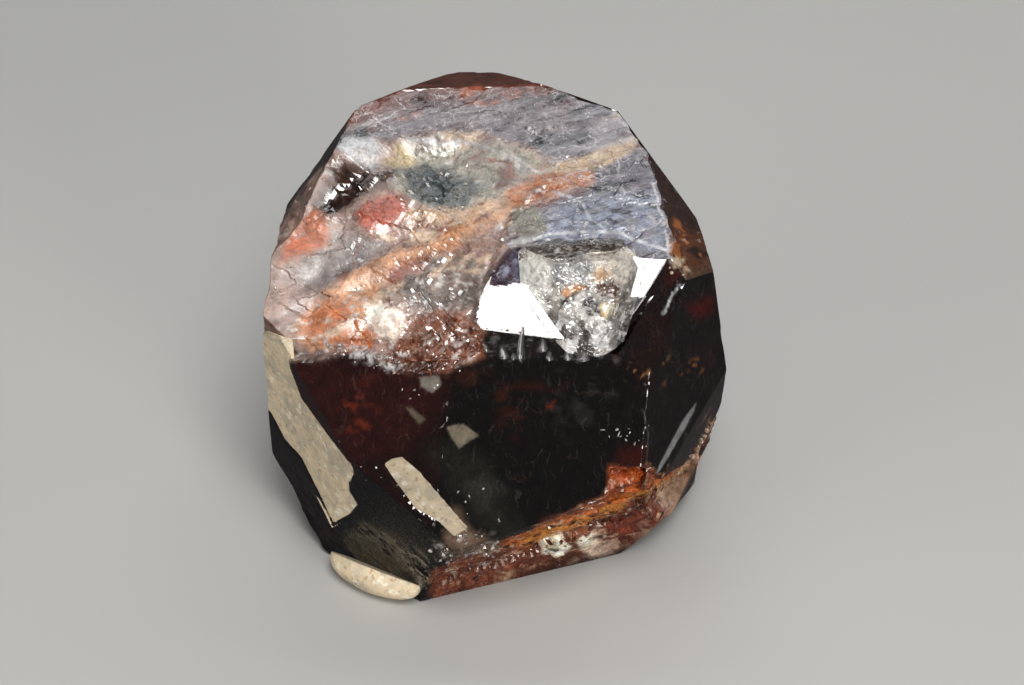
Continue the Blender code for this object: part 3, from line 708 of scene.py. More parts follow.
# Colours, as they look in soft light, laid out as patches on the front: outline, colour, softness in mm
patches = {
    "slopeBase": (zones["slope"], (186, 152, 138), 0.3),
    "footBase": (zones["foot"], (150, 80, 54), 0.25),
    "cap": ([(-7.5, 18.4), (-5.0, 19.3), (-3.2, 19.6), (-0.7, 20.0), (2.6, 20.4), (5.0, 20.6), (3.0, 23),
        (-9, 23)], (128, 70, 54), 0.3),
    "topPale": ([(-6.0, 17.8), (-1.0, 18.6), (3.0, 18.2), (6.0, 18.4), (2.0, 20.2), (-5.6, 19.4)],
        (150, 140, 144), 0.7),
    # painted blue-grey sheen on the top, crossed by dark dashes of painted shade in small pits
    "blueZone": ([(2.4, 14.4), (4.8, 15.1), (8.5, 15.2), (8.5, 12.1), (6.8, 12.4), (5.6, 12.5), (2.4, 12.4),
        (2.1, 13.2)], (146, 153, 176), 0.3),
    "greenPatch": ([(-5.6, 15.8), (-4.9, 17.6), (-2.5, 18.2), (0.9, 17.6), (2.5, 16.7), (0.6, 15.4),
        (-0.1, 14.7), (-1.5, 14.4), (-4.3, 15.2)], (172, 168, 152), 0.35),
    "greenBlot": ([(-4.7, 16.8), (-3.7, 17.2), (-2.5, 16.8), (-1.5, 16.1), (-0.6, 15.7), (-0.9, 14.9),
        (-1.8, 14.7), (-3.1, 15.1), (-4.5, 15.3)], (58, 68, 68), 0.25),
    "yellowSpot": ([(-5.8, 17.0), (-4.7, 17.8), (-4.2, 17.4), (-4.7, 16.9)], (232, 206, 150), 0.2),
    # painted white glint at the corner, upper left of the top
    "whiteCorner": ([(-7.7, 17.3), (-7.6, 18.0), (-6.3, 17.9), (-5.8, 17.3), (-6.1, 16.8), (-7.0, 16.8)],
        (238, 238, 240), 0.25),
    # dark brown painted shadow under the step at the upper left
    "brownStep": ([(-9.1, 14.5), (-8.5, 15.8), (-7.7, 16.8), (-6.2, 16.8), (-4.9, 16.8), (-5.5, 16.2),
        (-6.6, 15.6), (-7.8, 14.6), (-8.7, 13.8)], (44, 22, 17), 0.3),
    "redSpot": ([(-7.1, 14.0), (-6.7, 15.0), (-5.8, 15.5), (-4.8, 15.2), (-4.7, 14.4), (-5.4, 13.6),
        (-6.5, 13.5)], (206, 94, 66), 0.3),
    "greyLilac": ([(-10.1, 11.2), (-9.3, 12.3), (-7.8, 13.3), (-6.0, 13.2), (-5.5, 12.6), (-7.1, 11.3),
        (-8.7, 10.3), (-9.9, 10.2)], (150, 136, 134), 0.4),
    "orangeLeft": ([(-10.6, 11.7), (-10.3, 13.3), (-9.4, 14.5), (-8.6, 14.0), (-8.7, 13.0), (-9.5, 12.2)],
        (216, 108, 46), 0.3),
    "creamMid": ([(-4.7, 14.8), (-1.2, 14.6), (1.2, 15.3), (0.7, 14.2), (-0.6, 13.6), (-2.4, 13.0),
        (-4.5, 13.1)], (240, 198, 160), 0.3),
    "brownRed": ([(-4.0, 13.8), (-2.4, 13.9), (-2.0, 13.4), (-3.1, 12.8), (-4.1, 12.8)], (134, 66, 50),
        0.2),
    "orangeUpper": ([(0.6, 15.2), (1.6, 15.9), (3.2, 16.3), (5.0, 16.5), (5.0, 15.8), (3.9, 15.3),
        (2.1, 14.6), (0.8, 14.4)], (204, 126, 74), 0.22),
    "creamRight": ([(2.3, 16.3), (4.2, 17.0), (7.2, 17.9), (6.9, 17.2), (5.1, 16.4), (3.2, 16.1)],
        (226, 194, 160), 0.13),
    "peachBand": ([(-9.9, 9.3), (-8.7, 10.3), (-7.1, 11.2), (-5.9, 12.0), (-3.1, 13.1), (-0.6, 14.0),
        (1.0, 14.6), (0.7, 13.9), (-1.8, 12.9), (-4.3, 11.7), (-5.9, 10.9), (-6.1, 9.5), (-6.6, 8.6),
        (-7.2, 7.9), (-9.3, 7.1), (-10.4, 7.9)], (240, 172, 124), 0.35),
    "orangePatch": ([(-9.9, 9.0), (-8.9, 9.8), (-7.3, 9.6), (-6.5, 8.6), (-7.2, 7.5), (-9.5, 7.7)],
        (226, 130, 74), 0.4),
    "amberSpot": ([(-7.2, 7.9), (-6.6, 8.3), (-6.0, 8.0), (-6.5, 7.3), (-7.1, 7.3)], (214, 112, 34), 0.15),
    "creamLump": ([(-6.6, 9.8), (-5.5, 9.5), (-4.8, 9.2), (-4.6, 8.4), (-5.2, 7.8), (-6.0, 8.1),
        (-6.5, 8.7)], (322, 300, 282), 0.16),
    "redStreak": ([(-6.1, 10.4), (-4.9, 11.7), (-3.1, 12.4), (-3.7, 11.6), (-4.9, 10.6), (-5.8, 9.7)],
        (160, 88, 68), 0.25),
    "greyGlass": ([(-4.9, 10.4), (-3.1, 12.0), (-1.2, 12.4), (0.0, 11.0), (-0.6, 9.9), (-1.6, 9.2),
        (-3.0, 9.1), (-4.4, 9.4)], (138, 124, 118), 0.25),
    "brownLedge": ([(-5.4, 7.2), (-4.4, 8.8), (-2.7, 9.4), (-1.5, 9.0), (-0.4, 8.3), (-0.3, 7.0),
        (-2.4, 6.2), (-4.0, 6.0), (-5.3, 6.6)], (150, 92, 66), 0.2),
    "rustLedge": ([(-4.6, 7.6), (-3.6, 7.7), (-2.2, 7.1), (-0.6, 8.0), (-0.6, 7.2), (-2.0, 6.6),
        (-3.4, 6.3), (-4.6, 6.8)], (136, 66, 34), 0.2),
    # painted shade on the steep wall under the top's rim, above the chip
    "ledgeTop": ([(1.3, 12.2), (1.9, 12.45), (2.6, 12.75), (3.2, 12.85), (3.8, 12.65), (4.6, 12.8),
        (5.5, 12.85), (6.5, 12.75), (6.6, 12.1), (4.0, 11.8)], (34, 20, 15), 0.05),
    "oliveFacet": ([(0.9, 14.2), (2.3, 14.5), (2.6, 13.2), (1.6, 12.8), (0.9, 13.2)], (140, 134, 118),
        0.12),
    "purpleDark": ([(-0.3, 10.7), (0.4, 12.1), (1.0, 12.2), (1.1, 10.8), (0.1, 10.3)], (66, 42, 58), 0.2),
    "bluePurple": ([(0.9, 12.2), (1.7, 12.2), (1.7, 10.6), (1.0, 10.6)], (96, 90, 116), 0.3),
    "shoulder": ([(8.6, 12.3), (8.9, 13.4), (10.2, 13.2), (11.4, 12.2), (10.1, 11.4), (8.8, 11.0)],
        (104, 64, 46), 0.25),
    "darkFacet": ([(9.4, 12.2), (9.9, 12.5), (10.8, 12.0), (10.0, 11.8)], (60, 44, 40), 0.08),
    "redOnCorner": ([(8.2, 11.7), (9.0, 12.0), (9.2, 11.2), (8.4, 10.3)], (58, 22, 19), 0.25),
    "redOnRight": ([(9.4, 9.5), (10.8, 9.8), (11.0, 9.0), (9.8, 8.9)], (78, 18, 14), 0.4),
    "leftShade": ([(-9.4, 14.6), (-8.6, 16.0), (-8.0, 16.6), (-7.6, 16.0), (-8.6, 14.2)], (74, 42, 34),
        0.3),
    "leftMaroon": ([(-10.2, 6.9), (-7.6, 7.0), (-3.0, 6.6), (-2.4, 5.2), (-3.4, 3.2), (-5.4, 1.7),
        (-7.4, 1.4), (-8.9, 3.4), (-10.0, 5.2)], (50, 18, 16), 0.7),
    "oliveHaze": ([(-3.2, 2.4), (-1.9, 2.6), (-0.7, 2.2), (0.6, -0.3), (1.4, -1.4), (0.3, -2.1),
        (-0.8, -0.8)], (40, 39, 33), 0.8),
    "lowGrey": ([(-1.2, 0.9), (-0.2, 1.0), (0.3, 0.4), (0.0, -0.6), (-1.0, -0.5)], (54, 51, 45), 0.5),
    # a small painted red glow, low on the front
    "ember": ([(2.6, 4.5), (3.05, 4.8), (2.95, 4.4)], (112, 38, 20), 0.12),
    "flake": ([(-2.3, 3.5), (-1.5, 3.65), (-0.75, 3.1), (-1.2, 2.8), (-1.7, 2.45), (-2.1, 3.0)],
        (136, 126, 108), 0.06),
    "slimFlake": ([(-4.25, 4.5), (-3.95, 4.45), (-3.3, 3.9), (-3.6, 3.7)], (118, 106, 90), 0.08),
    "silverFlake": ([(-3.6, 6.0), (-2.7, 6.0), (-2.55, 5.6), (-3.0, 5.2), (-3.5, 5.5)], (150, 140, 130),
        0.08),
    "frontRed": ([(6.2, 2.3), (7.6, 2.7), (7.5, 1.5), (6.0, 1.4)], (58, 18, 14), 0.3),
    # painted highlight along the edge on the lower right
    "whiteLine": ([(10.1, 4.6), (10.0, 4.2), (9.2, 2.9), (8.3, 1.4), (8.0, 1.1), (8.5, 2.2), (9.4, 3.8)],
        (150, 150, 152), 0.05),
    "amberBlock": (zones["sunkBlock"], (188, 84, 26), 0.1),
    "orangeLedge": ([(-0.7, -3.3), (1.3, -2.1), (3.3, -1.2), (5.7, -0.4), (7.7, 0.4), (10.0, 1.4),
        (10.1, 0.6), (7.8, -0.6), (5.3, -2.0), (3.3, -2.9), (1.3, -3.5)], (240, 128, 54), 0.25),
    "stoneA": ([(2.2, -2.7), (3.3, -2.4), (4.1, -3.0), (3.6, -3.6), (2.6, -3.6)], (330, 314, 282), 0.1),
    "stoneB": ([(4.3, -2.6), (5.3, -2.2), (6.7, -2.7), (6.2, -3.6), (5.5, -3.9), (4.6, -3.3)],
        (340, 306, 274), 0.12),
    "rimStones": ([(7.0, -2.3), (8.0, -1.2), (9.2, -0.4), (10.3, 0.6), (10.7, 0.1), (9.9, -1.4),
        (8.8, -2.4), (7.8, -3.0)], (262, 226, 198), 0.15),
    "rightCrumbs": ([(8.7, 0.0), (10.4, 1.9), (11.6, 3.6), (12.2, 2.4), (11.0, 0.6), (9.6, -0.9)],
        (216, 168, 130), 0.3),
    "redUnder": ([(5.2, -2.4), (7.8, -0.8), (9.6, -1.0), (9.0, -3.0), (6.4, -4.2)], (140, 62, 40), 0.4),
    "amberLow": ([(1.5, -2.9), (3.6, -1.9), (6.4, -0.7), (9.6, 0.8), (9.4, 0.2), (6.4, -1.5), (3.8, -2.5),
        (1.6, -3.5)], (244, 158, 66), 0.15),
    "paleRoot": ([(-1.9, -0.6), (-0.9, -1.8), (0.3, -2.4), (0.8, -3.4), (-1.2, -3.6), (-2.7, -2.9)],
        (132, 108, 90), 0.4),
}
upperPatches = ("brownStep", "greenBlot", "redSpot", "creamLump")    # these lie over the spots
# Colour that shows as scattered spots inside an outline: outline, colour, softness, size of the spots, share
spots = {
    "leftRed": ([(-9.7, 6.6), (-8.0, 6.7), (-6.0, 6.3), (-4.3, 5.4), (-4.8, 2.9), (-6.0, 1.7), (-7.2, 2.6),
        (-8.5, 4.2), (-9.6, 5.4)], (66, 23, 18), 0.7, 1.1, 0.5),
    "leftOrange": ([(-8.7, 5.6), (-7.0, 5.6), (-5.7, 4.2), (-6.0, 2.6), (-7.1, 3.2), (-8.3, 4.4)],
        (110, 42, 24), 0.6, 0.7, 0.26),
    "centreRed": ([(0.2, 5.9), (1.7, 5.9), (3.4, 5.4), (3.0, 4.1), (2.3, 3.2), (1.0, 2.7), (0.3, 3.9)],
        (48, 19, 14), 0.6, 0.8, 0.4),
    "centreBrown": ([(-1.8, 6.8), (1.6, 6.8), (2.6, 6.2), (1.2, 4.4), (-1.4, 5.0)], (58, 28, 19), 0.7, 0.7,
        0.45),
    "haze": ([(1.5, 6.2), (6.6, 6.2), (7.2, 3.4), (3.6, 3.0)], (40, 38, 37), 1.0, 0.7, 0.6),
    "footSmudge": ([(6.0, 6.9), (8.4, 6.9), (8.2, 5.6), (6.6, 5.4)], (156, 112, 66), 0.35, 0.4, 0.5),
    "rightSmudge": ([(9.2, 6.3), (9.8, 6.9), (10.5, 6.8), (10.3, 6.2), (9.6, 6.0)], (146, 96, 50), 0.25,
        0.35, 0.4),
    "shoulderOrange": ([(8.6, 12.6), (9.0, 13.6), (10.4, 13.3), (11.6, 12.2), (10.1, 11.2), (8.7, 10.9)],
        (188, 116, 66), 0.2, 0.5, 0.46),
    "shoulderPale": ([(8.4, 12.2), (9.0, 12.4), (9.6, 11.2), (8.9, 10.4)], (240, 214, 184), 0.15, 0.4, 0.5),
    "capOrange": (zones["cap"], (186, 108, 76), 0.3, 0.9, 0.4),
    "capDark": (zones["cap"], (74, 38, 34), 0.3, 0.7, 0.35),
    "rightRim": ([(8.0, 1.2), (9.3, 1.7), (11.0, 4.2), (11.8, 3.9), (12.0, 2.2), (9.8, -0.2)],
        (206, 160, 120), 0.3, 0.5, 0.5),
    "purplePale": ([(-0.3, 10.6), (0.4, 12.2), (2.0, 12.3), (1.8, 10.5)], (170, 172, 196), 0.1, 0.35, 0.42),
    "purpleDeep": ([(-0.3, 10.6), (0.4, 12.2), (1.6, 12.3), (1.5, 10.5)], (58, 28, 40), 0.1, 0.3, 0.36),
    "slopeCream": (zones["slope"], (238, 208, 180), 0.3, 1.3, 0.28),
    "slopeBrown": (zones["slope"], (136, 80, 58), 0.3, 1.1, 0.24),
    "slopeWhite": (zones["slope"], (252, 246, 240), 0.3, 0.4, 0.08),
    "ledgeWhite": (zones["ledge"], (250, 236, 226), 0.2, 0.3, 0.45),
    "edgeSilver": (zones["slopeEdge"], (236, 230, 230), 0.15, 0.35, 0.6),
    "footCream": (zones["foot"], (240, 196, 156), 0.2, 0.45, 0.3),
    "footDark": (zones["foot"], (34, 16, 13), 0.2, 0.7, 0.35),
    "footSilver": ([(-3.0, -2.3), (-1.8, -1.6), (0.4, -1.8), (1.4, -2.6), (0.0, -4.4), (-2.6, -4.4)],
        (222, 210, 204), 0.3, 0.35, 0.35),
    "bevelFootGrey": ([(-0.6, 8.2), (1.3, 8.6), (2.8, 8.4), (3.4, 7.3), (6.0, 7.0), (6.0, 6.6),
        (-0.6, 6.6)], (92, 88, 90), 0.2, 0.3, 0.35),
}
# What lies under the clear crystal in the chip
chipPatches = {
    # painted shade on the steep wall under the top's rim, under the clear crystal
    "ledge": (chip["ledge"], (50, 27, 16), 0.05),
    "middle": ([(2.4, 11.4), (6.4, 11.2), (6.6, 9.0), (3.0, 8.8)], (150, 142, 134), 0.3),
    "frosted": ([(1.0, 12.1), (2.1, 11.9), (2.9, 11.5), (2.9, 10.9), (2.7, 10.3), (2.5, 9.5), (1.4, 9.5)],
        (216, 214, 210), 0.15),
    "grey": ([(2.8, 11.5), (3.7, 11.7), (4.7, 11.9), (4.9, 11.3), (4.6, 10.6), (3.5, 10.5), (2.9, 10.7)],
        (146, 148, 154), 0.2),
    "pale": ([(4.7, 11.9), (5.8, 12.1), (7.0, 12.4), (7.0, 11.4), (6.6, 10.5), (5.8, 10.8), (5.1, 10.9)],
        (226, 218, 208), 0.15),
    "cream": ([(4.9, 11.1), (5.4, 11.3), (5.9, 11.0), (5.5, 10.6), (5.0, 10.6)], (212, 172, 132), 0.2),
    "orange": ([(3.3, 10.2), (3.8, 10.5), (4.5, 10.4), (4.1, 10.0), (3.4, 9.9)], (206, 138, 78), 0.05),
    "brown": ([(5.1, 10.5), (5.8, 10.8), (6.3, 10.3), (5.9, 9.6), (5.4, 9.7), (5.0, 10.1)], (84, 46, 26),
        0.07),
    "darkLeft": ([(3.1, 9.8), (3.8, 10.0), (4.4, 10.2), (4.0, 9.6), (3.5, 9.3)], (22, 17, 15), 0.06),
    "ring": ([(4.1, 9.9), (4.9, 10.15), (5.6, 9.7), (5.6, 9.0), (4.8, 8.6), (4.0, 9.0), (3.9, 9.5)],
        (204, 202, 200), 0.07),
    "hole": ([(4.4, 9.7), (4.9, 9.85), (5.3, 9.5), (5.2, 9.0), (4.7, 8.9), (4.3, 9.3)], (12, 9, 8), 0.06),
    "creamGrain": ([(5.3, 9.5), (5.8, 9.6), (5.8, 9.1), (5.5, 8.8), (5.2, 8.9)], (240, 220, 176), 0.07),
    "streak": ([(5.8, 9.2), (6.3, 10.0), (7.0, 10.4), (6.8, 9.2), (6.2, 8.0), (5.7, 7.4), (5.5, 7.9)],
        (120, 114, 112), 0.1),
}
# Thin lines, some of them painted highlights along rims and edges: points, colour, half width
lines = {
    # painted highlight along the top's rim over the chip
    "topRim": ([(0.8, 12.55), (1.8, 12.7), (2.6, 13.0), (3.4, 13.1), (4.8, 13.1), (6.3, 13.1), (7.0, 12.7),
        (8.5, 12.2)], (244, 246, 250), 0.07),
    # painted highlight on the chip's rounded lower rim
    "chipRim": ([(1.5, 10.6), (2.3, 9.3), (3.0, 8.4), (3.7, 7.6), (4.7, 7.2), (5.4, 7.2), (6.1, 7.9),
        (6.6, 9.0), (7.0, 10.3)], (236, 236, 238), 0.09),
    # painted highlight along the right front corner
    "cornerLine": ([(9.1, 10.5), (8.7, 9.9), (8.3, 9.1)], (226, 226, 230), 0.05),
    "foldLine": ([(7.3, 4.4), (7.6, 3.2), (7.5, 1.6)], (96, 92, 92), 0.04),
    "topCrackA": ([(2.9, 15.3), (4.3, 14.7), (5.0, 13.6), (5.9, 12.9)], (214, 218, 230), 0.05),
    "topCrackB": ([(0.2, 17.9), (1.2, 16.9), (2.3, 16.2), (3.2, 16.5)], (226, 220, 218), 0.06),
    "topCrackC": ([(-4.5, 17.9), (-1.6, 17.9), (0.4, 17.3), (1.5, 16.4)], (206, 202, 204), 0.06),
    # painted highlight along the shoulder edge
    "shoulderLine": ([(7.9, 15.6), (8.4, 14.0), (8.6, 12.3), (8.6, 11.6)], (224, 224, 228), 0.06),
    "slabLine": ([(0.1, 12.3), (-0.6, 11.0), (-0.7, 9.8)], (226, 206, 198), 0.07),
}
# Colours of the growth faces away from the patches
faceColours = {
    "top": (112, 106, 117),
    "bevel": (74, 66, 76),
    "bevelFoot": (20, 15, 14),
    "frontCorner": (17, 13, 13),
    "front": (17, 13, 12),
    "frontLeft": (30, 14, 12),
    "right": (26, 22, 21),
    "rightTop": (66, 50, 46),
    "rightShoulder": (96, 72, 56),
    "backCap": (124, 70, 54),
    "backLeftCap": (120, 76, 60),
    "leftSlope": (160, 132, 122),
    "frontLeftLow": (22, 11, 10),
    "frontFootLeft": (12, 8, 7),
    "leftSide": (34, 16, 13),
    "frontFoot": (40, 22, 18),
    "rightFoot": (80, 36, 24),
    "other": (38, 18, 15),
}
surfaces = {  # roughness, grain, streaks
    "plain": (0.06, 0.05, 0.0),
    "dull": (0.26, 0.2, 0.0),
    "top": (0.17, 0.3, 1.0),
    "bevel": (0.14, 0.12, 0.2),
    "slope": (0.15, 0.45, 0.12),
    "foot": (0.22, 0.8, 0.0),
    "patch": (0.28, 0.75, 0.0),
    "chip": (0.10, 0.35, 0.0),
}


lightShare = 0.62    # reflectance 1 under these lights shows as more than white


def linear(colour):  # 0-255 as seen, or more where brighter, to the reflectance that shows it
    share = np.array(colour) / 255.0
    seen = np.where(share <= 0.04045, share / 12.92, ((share + 0.055) / 1.055) ** 2.4)
    return seen * lightShare


def mixed(first, second, share):
    share = np.asarray(share)[:, None]
    return first * (1 - share) + second * share


def blend(colour, share, seen):
    return mixed(colour, linear(seen), share)


def clouded(points, base, clouds):  # a base colour with clouds: stretch, size, seed, limits, strength, colour
    colour = np.tile(linear(base), (len(points), 1))
    for stretch, size, seed, low, high, strength, seen in clouds:
        drawn = drawnOut(points, *stretch)
        colour = blend(colour, ramp(layered(drawn, size, seed), low, high) * strength, seen)
    return colour


def distanceToLine(points, x, height):
    nearest = np.full(len(x), 1e9)
    for (ax, ay), (bx, by) in zip(points, points[1:]):
        spanX, spanY = bx - ax, by - ay
        along = np.clip(((x - ax) * spanX + (height - ay) * spanY) / (spanX ** 2 + spanY ** 2), 0.0, 1.0)
        nearest = np.minimum(nearest, np.hypot(x - ax - along * spanX, height - ay - along * spanY))
    return nearest


# dark dashes of painted shade, for small pits in the painted sheen
def paintedPitShade(points):
    clouds = ramp(layered(drawnOut(points, -6, 2.2), 0.9, 117), -0.1, 0.2)
    offset, number, border = cells(drawnOut(points, -8, 2.8), 0.56, 119)
    return ramp(0.42 - np.linalg.norm(offset, axis=1), 0.0, 0.1) * (number < 0.85) * (0.5 + 0.5 * clouds)


topClouds = [    # slate, lilac, red and cream, drawn out along the growth lines
    ((growthTurn, 2.2), 1.4, 101, -0.06, 0.14, 1.0, (46, 48, 58)),
    ((growthTurn, 2.2), 1.0, 105, 0.08, 0.3, 0.75, (184, 176, 182)),
    ((growthTurn, 2.2), 1.1, 109, 0.14, 0.34, 0.8, (104, 50, 44)),
    ((growthTurn, 5.0), 0.6, 113, 0.2, 0.42, 0.65, (212, 200, 190)),
]
crustBase = (112, 56, 40)
crustClouds = [    # on the broken patches of the sides and back
    ((20, 1.4), 1.9, 65, -0.2, 0.3, 1.0, (190, 150, 122)),
    ((20, 1.4), 1.1, 121, 0.2, 0.45, 1.0, (206, 120, 66)),
    ((20, 1.4), 0.8, 125, 0.25, 0.5, 1.0, (58, 28, 24)),
    ((20, 1.4), 0.4, 129, 0.3, 0.45, 1.0, (236, 222, 206)),
]


def paint(points, kinds):
    x, height = laidOut(points)
    front = ramp(facingFront(points), -0.22, 0.0)
    colour = np.zeros((len(points), 3))
    surface = np.tile(surfaces["plain"], (len(points), 1))
    for index, name in enumerate(faceNames):
        colour[kinds == index] = linear(faceColours.get(name, faceColours["other"]))
    colour[kinds == chipFace] = linear((150, 140, 130))
    onTop = kinds == faceNames.index("top")
    colour[onTop] = clouded(points[onTop], faceColours["top"], topClouds)
    for name, kind in (("top", "top"), ("bevel", "bevel"), ("frontFootLeft", "dull"), ("frontFoot", "dull")):
        surface[kinds == faceNames.index(name)] = surfaces[kind]
    # painted red glow, as if light shone through the crystal, here and there in the dark faces
    dark = colour.sum(axis=1) < 0.12
    paintedRedGlow = ramp(layered(points, 3.6, 63), 0.12, 0.75) * dark * (1 - 0.85 * front)
    colour += paintedRedGlow[:, None] * linear((74, 20, 12))
    # broken patches on the sides and back
    frayed = layered(points, 1.7, 67) * 9.0 + layered(points, 0.6, 69) * 4.0
    rough = np.clip(patchShare(points, frayed) / 0.3, 0, 1)
    colour = mixed(colour, clouded(points, crustBase, crustClouds), rough)
    surface = mixed(surface, np.array(surfaces["patch"]), rough)
    # patches with wandering borders
    wobbleX, wobbleY = layered(points, 1.1, 66) * 0.34, layered(points, 1.1, 71) * 0.34
    notChip = kinds != chipFace
    breakUp = ramp(layered(points, 0.8, 75), -0.3, 0.1)
    for name, (outline, seen, soft) in patches.items():
        if name in upperPatches:
            continue
        wobble = min(1.0, soft * 4)
        inside = distanceInside(outline, x + wobbleX * wobble, height + wobbleY * wobble)
        share = ramp(inside, -soft, soft) * front * notChip
        if soft > 0.15:
            share = share * (0.72 + 0.28 * breakUp)
        # the painted sheen lies on the top only, with painted pit shade over it
        if name == "blueZone":
            share = share * onTop
            colour = blend(colour, share * (0.75 + 0.25 * breakUp), seen)
            colour = blend(colour, share * paintedPitShade(points), (8, 14, 44))
            continue
        colour = blend(colour, share, seen)
        if name in ("slopeBase", "footBase"):
            kind = surfaces["slope" if name == "slopeBase" else "foot"]
            surface = mixed(surface, np.array(kind), share)
        if name == "slopeBase":    # wet and crisp on the right, duller on the left
            surface[:, 0] += share * (0.1 * ramp(-x, 2.5, 6.0) + 0.24 * ramp(-x, 6.5, 9.0))
            surface[:, 0] += share * 0.12 * ramp(height, 14.0, 16.5)
    for index, (name, (outline, seen, soft, size, amount)) in enumerate(spots.items()):
        inside = distanceInside(outline, x + wobbleX, height + wobbleY)
        share = ramp(inside, -soft, soft) * front * notChip * 0.9
        here = np.flatnonzero(share > 0)
        limit = 0.42 - 0.5 * amount
        clouds = ramp(layered(drawnOut(points[here], 24, 1.5), size, 140 + index * 5), limit, limit + 0.22)
        colour[here] = blend(colour[here], share[here] * clouds, seen)
    for name in upperPatches:
        outline, seen, soft = patches[name]
        share = ramp(distanceInside(outline, x + wobbleX, height + wobbleY), -soft, soft) * front * notChip
        colour = blend(colour, share * (0.78 + 0.22 * breakUp), seen)
        # the painted shadow under the step is kept smooth and dark, with few glints
        if name == "brownStep":    # smooth and dark, with few glints
            surface = mixed(surface, np.array(surfaces["plain"]), share)
    for name, (path, seen, width) in lines.items():
        away = distanceToLine(path, x + wobbleX * 0.2, height + wobbleY * 0.2)
        share = ramp(width * 1.6 - away, 0.0, width) * front
        here = np.flatnonzero(share > 0)
        # breaks up the thin lines, cracks and painted highlights alike
        unevenness = 0.35 + 0.65 * ramp(layered(points[here], 0.5, 79), -0.25, 0.1)
        colour[here] = blend(colour[here], share[here] * unevenness, seen)
    mottle = layered(points, 0.9, 61)
    colour = colour * (1 + 0.55 * mottle * np.clip(surface[:, 1] * 1.5, 0.2, 1.0))[:, None]
    inChip = kinds == chipFace
    if inChip.any():
        colour[inChip], surface[inChip] = chipColours(points[inChip])
    return np.clip(colour, 0.0008, 0.95), surface


def chipColours(points):
    x, height = laidOut(points)
    colour = np.tile(linear((158, 152, 147)), (len(points), 1))
    offset, number, border = cells(drawnOut(points, 62, 2.6), 0.40, 71)
    lower = 0.3 + 0.7 * ramp(9.9 - height, -0.3, 0.8)
    edge = ramp(0.12 - border, 0.0, 0.08)
    # bright and dark facets, painted as reflections on the broken glass, most in the lower half
    colour = blend(colour, (number < 0.4) * lower * 0.85, (34, 30, 29))
    colour = blend(colour, (number > 0.8) * lower * 0.7, (226, 226, 228))
    wobbleX, wobbleY = layered(points, 0.5, 66) * 0.2, layered(points, 0.5, 71) * 0.2
    for outline, seen, soft in chipPatches.values():
        inside = distanceInside(outline, x + wobbleX, height + wobbleY)
        colour = blend(colour, ramp(inside, -soft, soft), seen)
    # painted glints and painted shade along the facet edges
    colour = blend(colour, edge * (number > 0.45) * (0.25 + 0.6 * lower), (250, 250, 248))
    colour = blend(colour, edge * (number < 0.35) * (0.25 + 0.6 * lower), (36, 30, 28))
    colour = blend(colour, ramp(layered(points, 0.3, 90), 0.25, 0.4) * 0.5, (246, 246, 244))
    colour = blend(colour, ramp(layered(points, 0.35, 95), 0.3, 0.45) * 0.5, (84, 70, 60))
    return colour, np.tile(surfaces["chip"], (len(points), 1))


# Node groups and materials

def newGroup(name, inputs, outputs):
    group = bpy.data.node_groups.new(name, "ShaderNodeTree")
    for label, kind, value in inputs:
        socket = group.interface.new_socket(label, in_out="INPUT", socket_type=kind)
        socket.default_value = value
    for label, kind in outputs:
        group.interface.new_socket(label, in_out="OUTPUT", socket_type=kind)
    return group, group.nodes.new("NodeGroupInput"), group.nodes.new("NodeGroupOutput")


def addNode(tree, kind, links=None, **settings):  # a node with its settings, and its inputs linked or set
    node = tree.nodes.new(kind)
    for name, value in settings.items():
        setattr(node, name, value)
    for key, value in (links or {}).items():
        if isinstance(value, bpy.types.NodeSocket):
            tree.links.new(value, node.inputs[key])
        else:
            node.inputs[key].default_value = value
    return node


def mathNode(tree, operation, first, second=0.0, third=None):
    links = {0: first, 1: second}
    if third is not None:
        links[2] = third
    return addNode(tree, "ShaderNodeMath", links, operation=operation).outputs[0]


def rescale(tree, value, low, high, newLow=0.0, newHigh=1.0):
    links = {"Value": value, "From Min": low, "From Max": high, "To Min": newLow, "To Max": newHigh}
    return addNode(tree, "ShaderNodeMapRange", links, interpolation_type="SMOOTHSTEP").outputs[0]


def mixColour(tree, share, first, second):
    node = addNode(tree, "ShaderNodeMix", None, data_type="RGBA")
    for index, value in ((0, share), (6, first), (7, second)):
        if isinstance(value, bpy.types.NodeSocket):
            tree.links.new(value, node.inputs[index])
        else:
            node.inputs[index].default_value = value if index == 0 else (*value, 1.0)
    return node.outputs[2]


def millimetreCoordinates(tree, scale=(1.0, 1.0, 1.0), turn=(0.0, 0.0, 0.0)):
    spot = addNode(tree, "ShaderNodeTexCoord").outputs["Object"]
    turned = addNode(tree, "ShaderNodeMapping", {"Vector": spot, "Rotation": turn})
    enlarged = [share / millimetre for share in scale]
    return addNode(tree, "ShaderNodeMapping", {"Vector": turned.outputs[0], "Scale": enlarged}).outputs[0]


def noiseNode(tree, spot, scale, detail=3.0, roughness=0.55, output=0):
    links = {"Vector": spot, "Scale": scale, "Detail": detail, "Roughness": roughness}
    return addNode(tree, "ShaderNodeTexNoise", links).outputs[output]


def noiseRamp(tree, spot, scale, detail, low, high, newLow=0.0, newHigh=1.0, roughness=0.55):
    return rescale(tree, noiseNode(tree, spot, scale, detail, roughness), low, high, newLow, newHigh)


def product(tree, first, second):
    return mathNode(tree, "MULTIPLY", first, second)


def mapped(tree, spot, turn, scale):
    return addNode(tree, "ShaderNodeMapping", {"Vector": spot, "Rotation": turn, "Scale": scale}).outputs[0]


def edgeDistance(tree, spot, scale):  # from the borders of irregular cells
    links = {"Vector": spot, "Scale": scale}
    return addNode(tree, "ShaderNodeTexVoronoi", links, feature="DISTANCE_TO_EDGE").outputs["Distance"]


